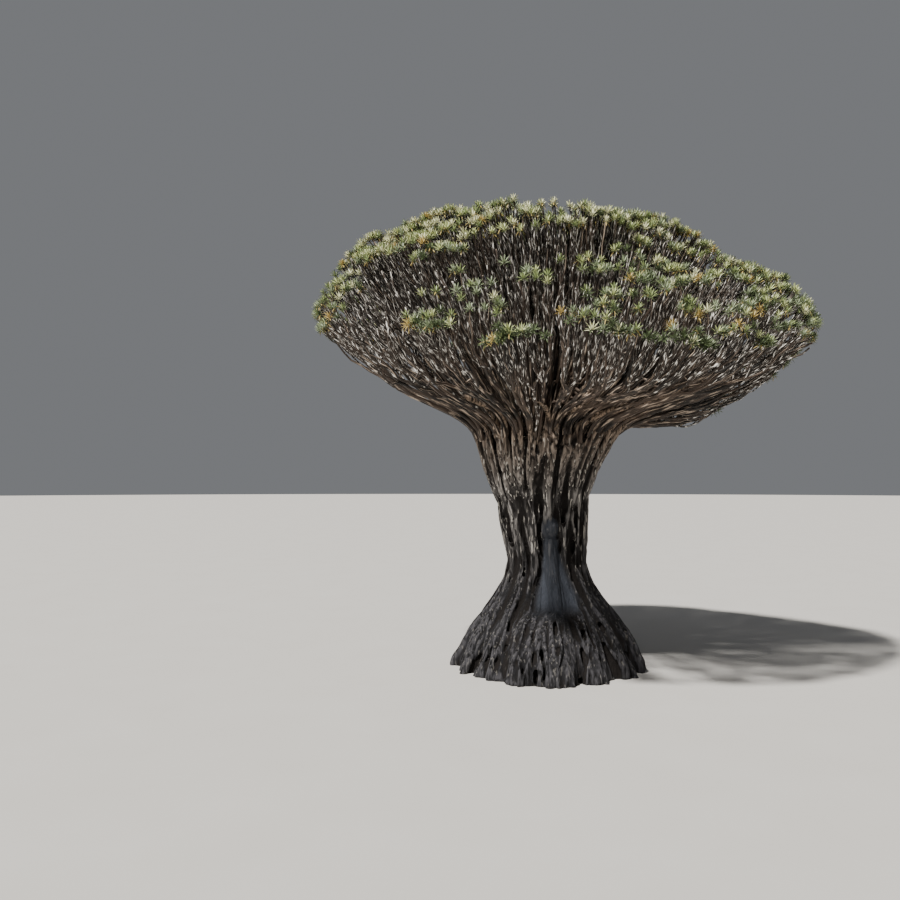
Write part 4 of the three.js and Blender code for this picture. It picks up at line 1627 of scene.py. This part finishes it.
    def clump_rises(self, places: Array) -> Array:
        """Works out how far a clump's rosettes stand over the dome, to make a low, nearly level cushion.

        Args:
            places: The rosettes' places in the plan, n by 2.

        Returns:
            How far each stands over the dome.
        """
        share = np.minimum(np.hypot(places[:, 0], places[:, 1]), 1.0)
        angle = np.arctan2(places[:, 1], places[:, 0])
        height = self.growth.dome_height(share) - self.growth.crown_drop(angle, share)
        away = ((places - places.mean(axis=0)) * self.growth.crown_radius) ** 2
        cushion = -self.clump_roundness * (away.sum(axis=1) - away.sum(axis=1).mean())
        return self.clump_flatness * (height.mean() - height) + cushion

    def radius(self, carried: float) -> float:
        """Returns the radius of a twig that carries some rosettes."""
        return self.tip_radius * carried**self.thickening

    def bundle_path(self, space: Space, fork: Fork, thickness: float) -> Path:
        """Lays out a limb of a bough's bundle: from inside the trunk, along the bough, to its own fork.

        Args:
            space: The bough's space.
            fork: The fork that the limb ends in.
            thickness: How thick it is, as a share of a plain limb.

        Returns:
            The limb's path.
        """
        height = np.linspace(self.bundle_low, fork.height, self.bundle_stations)
        emerging = smoothstep(height, self.bundle_low, self.parting_height)
        emerging = mix(self.bundle_low_share, 1.0, emerging)
        turned = float(turn_from(space.angle, math.atan2(fork.place[1], fork.place[0])))
        angle = space.angle + self.bundle_spread * turned
        share = mix(space.ring.share, min(1.0, float(np.hypot(*fork.place))), self.bundle_spread)
        own = share * np.array([math.cos(angle), math.sin(angle)])
        parting = smoothstep(height, self.parting_height, fork.height)[:, None]
        place = (own + (fork.place - own) * parting) * emerging[:, None]
        share, direction = np.hypot(place[:, 0], place[:, 1]), np.arctan2(place[:, 1], place[:, 0])
        share = share * (1.0 - self.growth.hollow(direction, height))
        centres = self.growth.fan_point(share, direction, height)
        aside = unit(np.append(fork.place - own, 0.0))
        centres = centres + aside * self.bundle_offset * (1.0 - parting)
        radii = self.radius(fork.carried) * mix(self.bundle_radius * thickness, 1.0, parting[:, 0])
        return Path(centres, radii)

    def limbs(
        self, fork: Fork, before: Path, random: np.random.Generator
    ) -> tuple[list[Path], list[Rosette]]:
        """Follows a limb's twigs as smooth paths, each from where it forks off to its rosette.

        Args:
            fork: Where the limb first forks.
            before: The stations that lead up to it.
            random: The seeded source of chance.

        Returns:
            The twigs' paths and the rosettes.
        """
        paths = []
        rosettes = []
        waiting = [(fork, list(before.centres), list(before.radii))]
        while waiting:
            current, points, radii = waiting.pop()
            while True:
                points.append(current.point)
                radii.append(self.radius(max(1.0, current.carried * self.fork_thinning)))
                if not current.branches:
                    break
                heading = unit(points[-1] - points[-2])
                here = current.point
                ranked = sorted(current.branches, key=lambda one: -float(unit(one.point - here) @ heading))
                for branch in ranked[1:]:
                    size = self.radius(branch.carried)
                    behind = here - heading * size * self.fork_behind
                    beyond = here + heading * size * self.fork_ahead
                    waiting.append((branch, [behind, beyond], [size, size]))
                current = ranked[0]
            path = self.bent(np.array(points), np.array(radii), random)
            paths.append(path)
            if not current.is_bare:
                rosettes.append(Rosette(path.centres[-1], unit(path.centres[-1] - path.centres[-3])))
        return paths, rosettes

    def bent(self, points: Array, radii: Array, random: np.random.Generator) -> Path:
        """Rounds a limb's corners and gives it slight bends.

        Args:
            points: The places it passes, n by 3.
            radii: Its radius at each.
            random: The seeded source of chance.

        Returns:
            The bent path.
        """
        before = np.vstack([2 * points[0] - points[1], points[:-1]])
        after = np.vstack([points[1:], 2 * points[-1] - points[-2]])
        heading = unit(unit(after - points) + unit(points - before))
        centres = []
        widths = []
        for index in range(len(points) - 1):
            length = float(np.linalg.norm(points[index + 1] - points[index]))
            steps = max(1, min(self.most_bends, round(length / self.bend_length)))
            for t in np.arange(steps) / steps:
                start, leaving, end, arriving = curve_weights(t)
                centre = start * points[index] + end * points[index + 1]
                centre = centre + (leaving * heading[index] + arriving * heading[index + 1]) * length
                bending = min(1.0, self.easy_bending * self.tip_radius / radii[index])
                sway = random.normal(size=3) * self.wobble * length * bending * (0.0 if t == 0 else 1.0)
                centres.append(centre + sway)
                widths.append(mix(radii[index], radii[index + 1], t))
        centres.append(points[-1])
        widths.append(radii[-1])
        return Path(np.array(centres), np.array(widths))

    def build(self) -> tuple[list[Path], list[Path], list[Rosette]]:
        """Grows every mass.

        Returns:
            The limbs of the boughs' bundles, which the bark's skin takes in, the twigs, and the rosettes.
        """
        random = np.random.default_rng(self.seed)
        whole = self.spread_over_dome()
        bundles: list[Path] = []
        twigs: list[Path] = []
        rosettes: list[Rosette] = []
        for space in self.spaces:
            count = round(self.rosette_count * float(space.samples[:, 2].sum()) / whole)
            places, bare = self.rosette_places(space, count, random)
            forks = [self.grow(places, bare, np.zeros(len(places)), len(places), random)]
            for _ in range(self.bundle_splits):
                forks = [branch for fork in forks for branch in fork.branches]
            for fork in forks:
                path = self.bundle_path(space, fork, random.uniform(*self.bundle_thickness))
                top = self.skin_height + random.uniform(*self.skin_height_spread)
                height = np.linspace(self.bundle_low, fork.height, len(path.centres))
                in_skin = height < top
                bundles.append(Path(path.centres[in_skin], path.radii[in_skin]))
                going_on = height > top - self.skin_overlap
                going_on = going_on & (height < fork.height - self.fork_clearance)
                at = np.flatnonzero(going_on)[:: self.limb_step]
                before = Path(path.centres[at], path.radii[at] * self.limb_inset)
                paths, ends = self.limbs(fork, before, random)
                twigs += paths
                rosettes += ends
        log.info("%d bundled limbs, %d twigs, %d rosettes", len(bundles), len(twigs), len(rosettes))
        return bundles, twigs, rosettes


@dataclass
class Wood:
    """The trunk and the boughs, fused into one skin of bark, which is then cut where the boughs begin."""

    growth: Growth
    spaces: list[Space]
    bundles: list[Path]
    finish: BarkFinish = BarkFinish()

    def build(self) -> list[bpy.types.Object]:
        """Returns the finished trunk and boughs."""
        trunk = Trunk(self.growth, self.spaces)
        limbs = trunk.limbs()
        maker = LimbMaker(sides=10, rows=40)
        limbs += [maker.lay(path) for path in self.bundles]
        maker.remove()
        sculptor = BarkSculptor(self.growth)
        lower = sculptor.fuse(limbs, "trunk_in_bark")
        sculptor.carve(lower)
        trunk.mark_smooth_bark(lower)
        upper = lower.copy()
        upper.data = lower.data.copy()
        upper.name = "boughs_in_bark"
        upper.data.name = "boughs_in_bark"
        bpy.context.scene.collection.objects.link(upper)
        sculptor.cut(lower, self.growth.bough_start_height, keep_above=False)
        sculptor.cut(upper, self.growth.bough_start_height, keep_above=True)
        for piece in (lower, upper):
            select_only([piece])
            bpy.ops.object.shade_smooth()
        boughs = [space.node("bough") for space in self.spaces]
        material = self.finish.material()
        finish_piece(lower, material, ["trunk"])
        finish_piece(upper, material, boughs)
        return [lower, upper]


def add_tube(batch: MeshArrays, path: Path, sides: int, offset: float) -> None:
    """Adds a closed tube along a path.

    Args:
        batch: Where it goes.
        path: The path that it follows.
        sides: How many sides it has.
        offset: Where along the bark's pattern it starts.
    """
    ahead, across, beside = path.frames()
    turn = np.arange(sides) / sides * math.tau
    ring = np.cos(turn)[None, :, None] * across[:, None] + np.sin(turn)[None, :, None] * beside[:, None]
    rows = len(path.centres)
    places = path.centres[:, None] + ring * path.radii[:, None, None]
    ends = np.stack([path.centres[0], path.centres[-1] + ahead[-1] * path.radii[-1]])
    places = np.concatenate([places.reshape(-1, 3), ends])
    row, side = np.meshgrid(np.arange(rows - 1), np.arange(sides), indexing="ij")
    beyond = (side + 1) % sides
    a, b = row * sides + side, row * sides + beyond
    c, d = a + sides, b + sides
    walls = np.stack([np.stack([a, b, d], -1), np.stack([a, d, c], -1)], axis=2).reshape(-1, 3)
    steps = np.linalg.norm(np.diff(path.centres, axis=0), axis=1)
    length = offset + np.concatenate([[0.0], np.cumsum(steps)])
    u0, u1 = side / sides, (side + 1) / sides
    v0, v1 = length[row], length[row + 1]
    low = np.stack([np.stack([u0, v0], -1), np.stack([u1, v0], -1), np.stack([u1, v1], -1)], axis=2)
    high = np.stack([np.stack([u0, v0], -1), np.stack([u1, v1], -1), np.stack([u0, v1], -1)], axis=2)
    wall_uvs = np.stack([low, high], axis=2).reshape(-1, 3, 2)
    corner = np.arange(sides)
    following = (corner + 1) % sides
    last = (rows - 1) * sides
    root = np.stack([np.full(sides, rows * sides), following, corner], axis=1)
    tip = np.stack([np.full(sides, rows * sides + 1), last + corner, last + following], axis=1)
    cap_uvs = np.full((2 * sides, 3, 2), offset)
    cap_uvs[sides:, :, 1] = length[-1]
    batch.add(places, np.concatenate([walls, root, tip]), np.concatenate([wall_uvs, cap_uvs]))


@dataclass
class Foliage:
    """All the masses: limbs and twigs in bark, and rosettes of sword leaves in several tones."""

    spaces: list[Space]
    twigs: list[Path]
    rosettes: list[Rosette]
    young_leaves: int = 17
    old_leaves: int = 9
    leaf_length: float = 0.255
    leaf_width: float = 0.034
    leaf_droop: float = 0.16
    leaf_middle: float = 0.35
    leaf_outer: float = 0.72
    length_spread: tuple[float, float] = (0.85, 1.12)
    young_rises: tuple[float, float] = (1.45, 0.3)
    old_rises: tuple[float, float] = (0.4, -0.2)
    rise_spread: float = 0.07
    dry_leaves: int = 5
    dry_share: float = 0.3
    dry_rises: tuple[float, float] = (-0.15, -0.75)
    rosette_lift: float = 0.35
    rosette_depth: float = 0.1
    rosette_radius: float = 0.02
    sun_facing: float = 0.5
    sun_height: float = 0.08
    sun_chance: float = 0.28
    stout_twig: float = 0.075
    thick_twig: float = 0.052
    pattern_length: float = 300.0
    seed: int = 9
    # Painted highlights: each twig finish's pale streaks are glints of sun, partly pale bark too
    old_twig: TwigFinish = TwigFinish(
        "old_twig_bark", srgb(184, 166, 148), srgb(70, 57, 47), srgb(24, 19, 15), (5.0, 1.2, 1.0), 0.56
    )
    young_twig: TwigFinish = TwigFinish(
        "young_twig_bark", srgb(243, 239, 232), srgb(66, 55, 46), srgb(34, 28, 23)
    )

    def build(self) -> list[bpy.types.Object]:
        """Returns the finished pieces."""
        masses = [space.node("mass") for space in self.spaces]
        return self.twig_pieces(masses) + self.leaf_pieces(masses)

    def twig_pieces(self, masses: list[str]) -> list[bpy.types.Object]:
        """Makes the twigs, as one piece of thick old limbs and one of thin young ones.

        Args:
            masses: The masses' nodes, which the pieces stand for.

        Returns:
            The two pieces.
        """
        thick, thin = MeshArrays(), MeshArrays()
        random = np.random.default_rng(self.seed)
        for path in self.twigs:
            widest = float(path.radii.max())
            sides = 8 if widest > self.stout_twig else 6 if widest > self.thick_twig else 4
            offset = random.uniform(0.0, self.pattern_length)
            add_tube(thick if widest > self.thick_twig else thin, path, sides, offset)
        kinds = (("old_twigs", thick, self.old_twig), ("young_twigs", thin, self.young_twig))
        pieces = []
        for name, batch, finish in kinds:
            piece = batch.build(name)
            select_only([piece])
            bpy.ops.object.shade_smooth()
            finish_piece(piece, finish.material(), masses)
            pieces.append(piece)
        return pieces

    def deal_tones(self, random: np.random.Generator) -> list[LeafTone]:
        """Deals the tones out: sunnier ones where the crown faces up, dry ones here and there.

        Args:
            random: The seeded source of chance.

        Returns:
            A tone for each rosette.
        """
        rosettes = self.rosettes
        places = np.array([rosette.place for rosette in rosettes])
        facing = np.array([rosette.direction[2] for rosette in rosettes])
        sun = self.sun_facing * facing + self.sun_height * (places[:, 2] - places[:, 2].mean())
        sun = sun + random.normal(0.0, self.sun_chance, len(rosettes))
        order = np.argsort(-sun)
        dealt = [LeafTone.DRY] * len(rosettes)
        is_dry = random.random(len(rosettes)) < LeafTone.DRY.value.share
        green = [index for index in order if not is_dry[index]]
        start = 0
        greens = [tone for tone in LeafTone if tone is not LeafTone.DRY]
        whole = sum(tone.value.share for tone in greens)
        for tone in greens:
            end = start + math.ceil(tone.value.share / whole * len(green))
            for index in green[start:end]:
                dealt[index] = tone
            start = end
        return dealt

    def leaf_pieces(self, masses: list[str]) -> list[bpy.types.Object]:
        """Makes the rosettes' leaves, as one piece for each tone.

        Args:
            masses: The masses' nodes, which the pieces stand for.

        Returns:
            The pieces.
        """
        random = np.random.default_rng(self.seed)
        dealt = self.deal_tones(random)
        pieces = []
        for tone in LeafTone:
            batch = MeshArrays()
            for rosette, own in zip(self.rosettes, dealt):
                if own is tone:
                    self.add_leaves(batch, rosette, self.young_leaves, self.young_rises, random)
                if own.of_old_leaves is tone:
                    self.add_leaves(batch, rosette, self.old_leaves, self.old_rises, random)
                if tone is LeafTone.DRY and random.random() < self.dry_share:
                    self.add_leaves(batch, rosette, self.dry_leaves, self.dry_rises, random)
            piece = batch.build(tone.value.name.replace("leaf", "leaves"))
            finish_piece(piece, tone.value.material(), masses)
            pieces.append(piece)
        return pieces

    def add_leaves(
        self,
        batch: MeshArrays,
        rosette: Rosette,
        count: int,
        rises: tuple[float, float],
        random: np.random.Generator,
    ) -> None:
        """Adds leaves round a twig's end.

        Args:
            batch: Where the leaves go.
            rosette: The twig's end.
            count: How many leaves there are.
            rises: How steeply the youngest and the oldest one stand, in radians.
            random: The seeded source of chance.
        """
        axis = unit(mix(rosette.direction, UP, self.rosette_lift))
        across = unit(np.cross(axis, np.array([0.3, 0.9, 0.1])))
        beside = np.cross(axis, across)
        number = np.arange(count)
        age = (number + random.random(count)) / count
        turn = number * GOLDEN_ANGLE + random.random() * math.tau
        rise = mix(*rises, age**0.8) + random.normal(0.0, self.rise_spread, count)
        size = self.leaf_length * random.uniform(*self.length_spread)
        length = size * (0.72 + 0.28 * np.sin(age * math.pi))
        outward = np.cos(turn)[:, None] * across + np.sin(turn)[:, None] * beside
        sideways = -np.sin(turn)[:, None] * across + np.cos(turn)[:, None] * beside
        root = rosette.place - axis * self.rosette_depth * age[:, None] + outward * self.rosette_radius
        ahead = np.cos(rise)[:, None] * outward + np.sin(rise)[:, None] * axis
        above = -np.sin(rise)[:, None] * outward + np.cos(rise)[:, None] * axis
        droop = self.leaf_droop * age
        width = self.leaf_width * 0.5

        def station(along: float, half: float, fold: float) -> tuple[Array, Array, Array]:
            """Returns every leaf's left edge, midrib and right edge, part of the way along."""
            middle = root + ahead * (length * along)[:, None] - above * (length * droop * along**2)[:, None]
            lift = above * (width * fold)
            return middle - sideways * half + lift, middle, middle + sideways * half + lift

        foot_left, _, foot_right = station(0.0, width * 0.7, 0.0)
        middle_left, middle_rib, middle_right = station(self.leaf_middle, width, 0.6)
        outer_left, _, outer_right = station(self.leaf_outer, width * 0.72, 0.3)
        _, point, _ = station(1.0, 0.0, 0.0)
        lower = [foot_left, foot_right, middle_left, middle_rib, middle_right]
        corners = lower + [outer_left, outer_right, point]
        places = np.stack(corners, axis=1).reshape(-1, 3)
        faces = (BLADE_FACES[None] + (number * len(corners))[:, None, None]).reshape(-1, 3)
        low, high = self.leaf_middle, self.leaf_outer
        flat = np.array([[0, 0], [1, 0], [0, low], [0.5, low], [1, low], [0, high], [1, high], [0.5, 1]])
        batch.add(places, faces, np.tile(flat[BLADE_FACES], (count, 1, 1)))


@dataclass
class Studio:
    """The pale floor, the soft light and the camera at the photograph's viewing angle."""

    camera_place: tuple[float, float, float] = (-3.6, -33.0, 6.7)
    focal_pixels: float = 901.0
    frame_pixels: float = 900.0
    horizon_pixels: float = 480.0
    floor_radius: float = 400.0
    floor_tones: tuple[Colour, Colour] = (srgb(176, 174, 170), srgb(182, 180, 177))
    floor_roughness: float = 0.9
    sun_strength: float = 8.6
    sun_colour: tuple[float, float, float] = (1.0, 0.965, 0.91)
    sun_softness: float = 4.0
    sun_tilt: float = 36.0
    sun_turn: float = -42.0
    sky_strength: float = 0.2
    sky_colour: Colour = (0.92, 0.95, 1.0, 1.0)

    def build(self) -> None:
        """Sets the studio up."""
        self.add_floor()
        self.add_lights()
        self.add_camera()

    def add_floor(self) -> None:
        """Adds a plain pale floor, wide enough to reach the horizon."""
        deselect_all()
        bpy.ops.mesh.primitive_circle_add(vertices=96, radius=self.floor_radius, fill_type="NGON")
        floor = bpy.context.object
        floor.name = "floor"
        nodes = NodeTree("floor_pale")
        soft = nodes.noise(nodes.object_place(), 0.4, 2.0)
        nodes.set(nodes.shader.inputs["Base Color"], nodes.blend(soft, *self.floor_tones))
        nodes.shader.inputs["Roughness"].default_value = self.floor_roughness
        floor.data.materials.append(nodes.material)

    def add_lights(self) -> None:
        """Adds a soft sun from the upper left, and an even pale sky."""
        sun = bpy.data.lights.new("key", "SUN")
        sun.energy = self.sun_strength
        sun.angle = math.radians(self.sun_softness)
        sun.color = self.sun_colour
        lamp = bpy.data.objects.new("key", sun)
        lamp.rotation_euler = (math.radians(self.sun_tilt), 0.0, math.radians(self.sun_turn))
        bpy.context.scene.collection.objects.link(lamp)
        world = bpy.data.worlds.new("sky")
        world.use_nodes = True
        background = world.node_tree.nodes["Background"]
        background.inputs["Color"].default_value = self.sky_colour
        background.inputs["Strength"].default_value = self.sky_strength
        bpy.context.scene.world = world

    def add_camera(self) -> None:
        """Adds the camera, with the photograph's horizon and width of view."""
        lens = bpy.data.cameras.new("camera")
        lens.sensor_width = 36.0
        lens.lens = lens.sensor_width * self.focal_pixels / self.frame_pixels
        lens.clip_end = 2000.0
        camera = bpy.data.objects.new("camera", lens)
        pitch = math.atan((self.horizon_pixels - self.frame_pixels / 2.0) / self.focal_pixels)
        camera.location = self.camera_place
        camera.rotation_euler = (math.pi / 2.0 + pitch, 0.0, 0.0)
        bpy.context.scene.collection.objects.link(camera)
        bpy.context.scene.camera = camera


def main() -> None:
    """Builds the studio and the tree, piece by piece."""
    logging.basicConfig(level=logging.INFO, format="%(message)s")
    growth = Growth()
    spaces = [Space(ring, index) for ring in growth.rings for index in range(ring.count)]
    Studio().build()
    log.info("studio ready")
    bundles, twigs, rosettes = Crown(growth, spaces).build()
    Wood(growth, spaces, bundles).build()
    Foliage(spaces, twigs, rosettes).build()


if __name__ == "__main__":
    main()
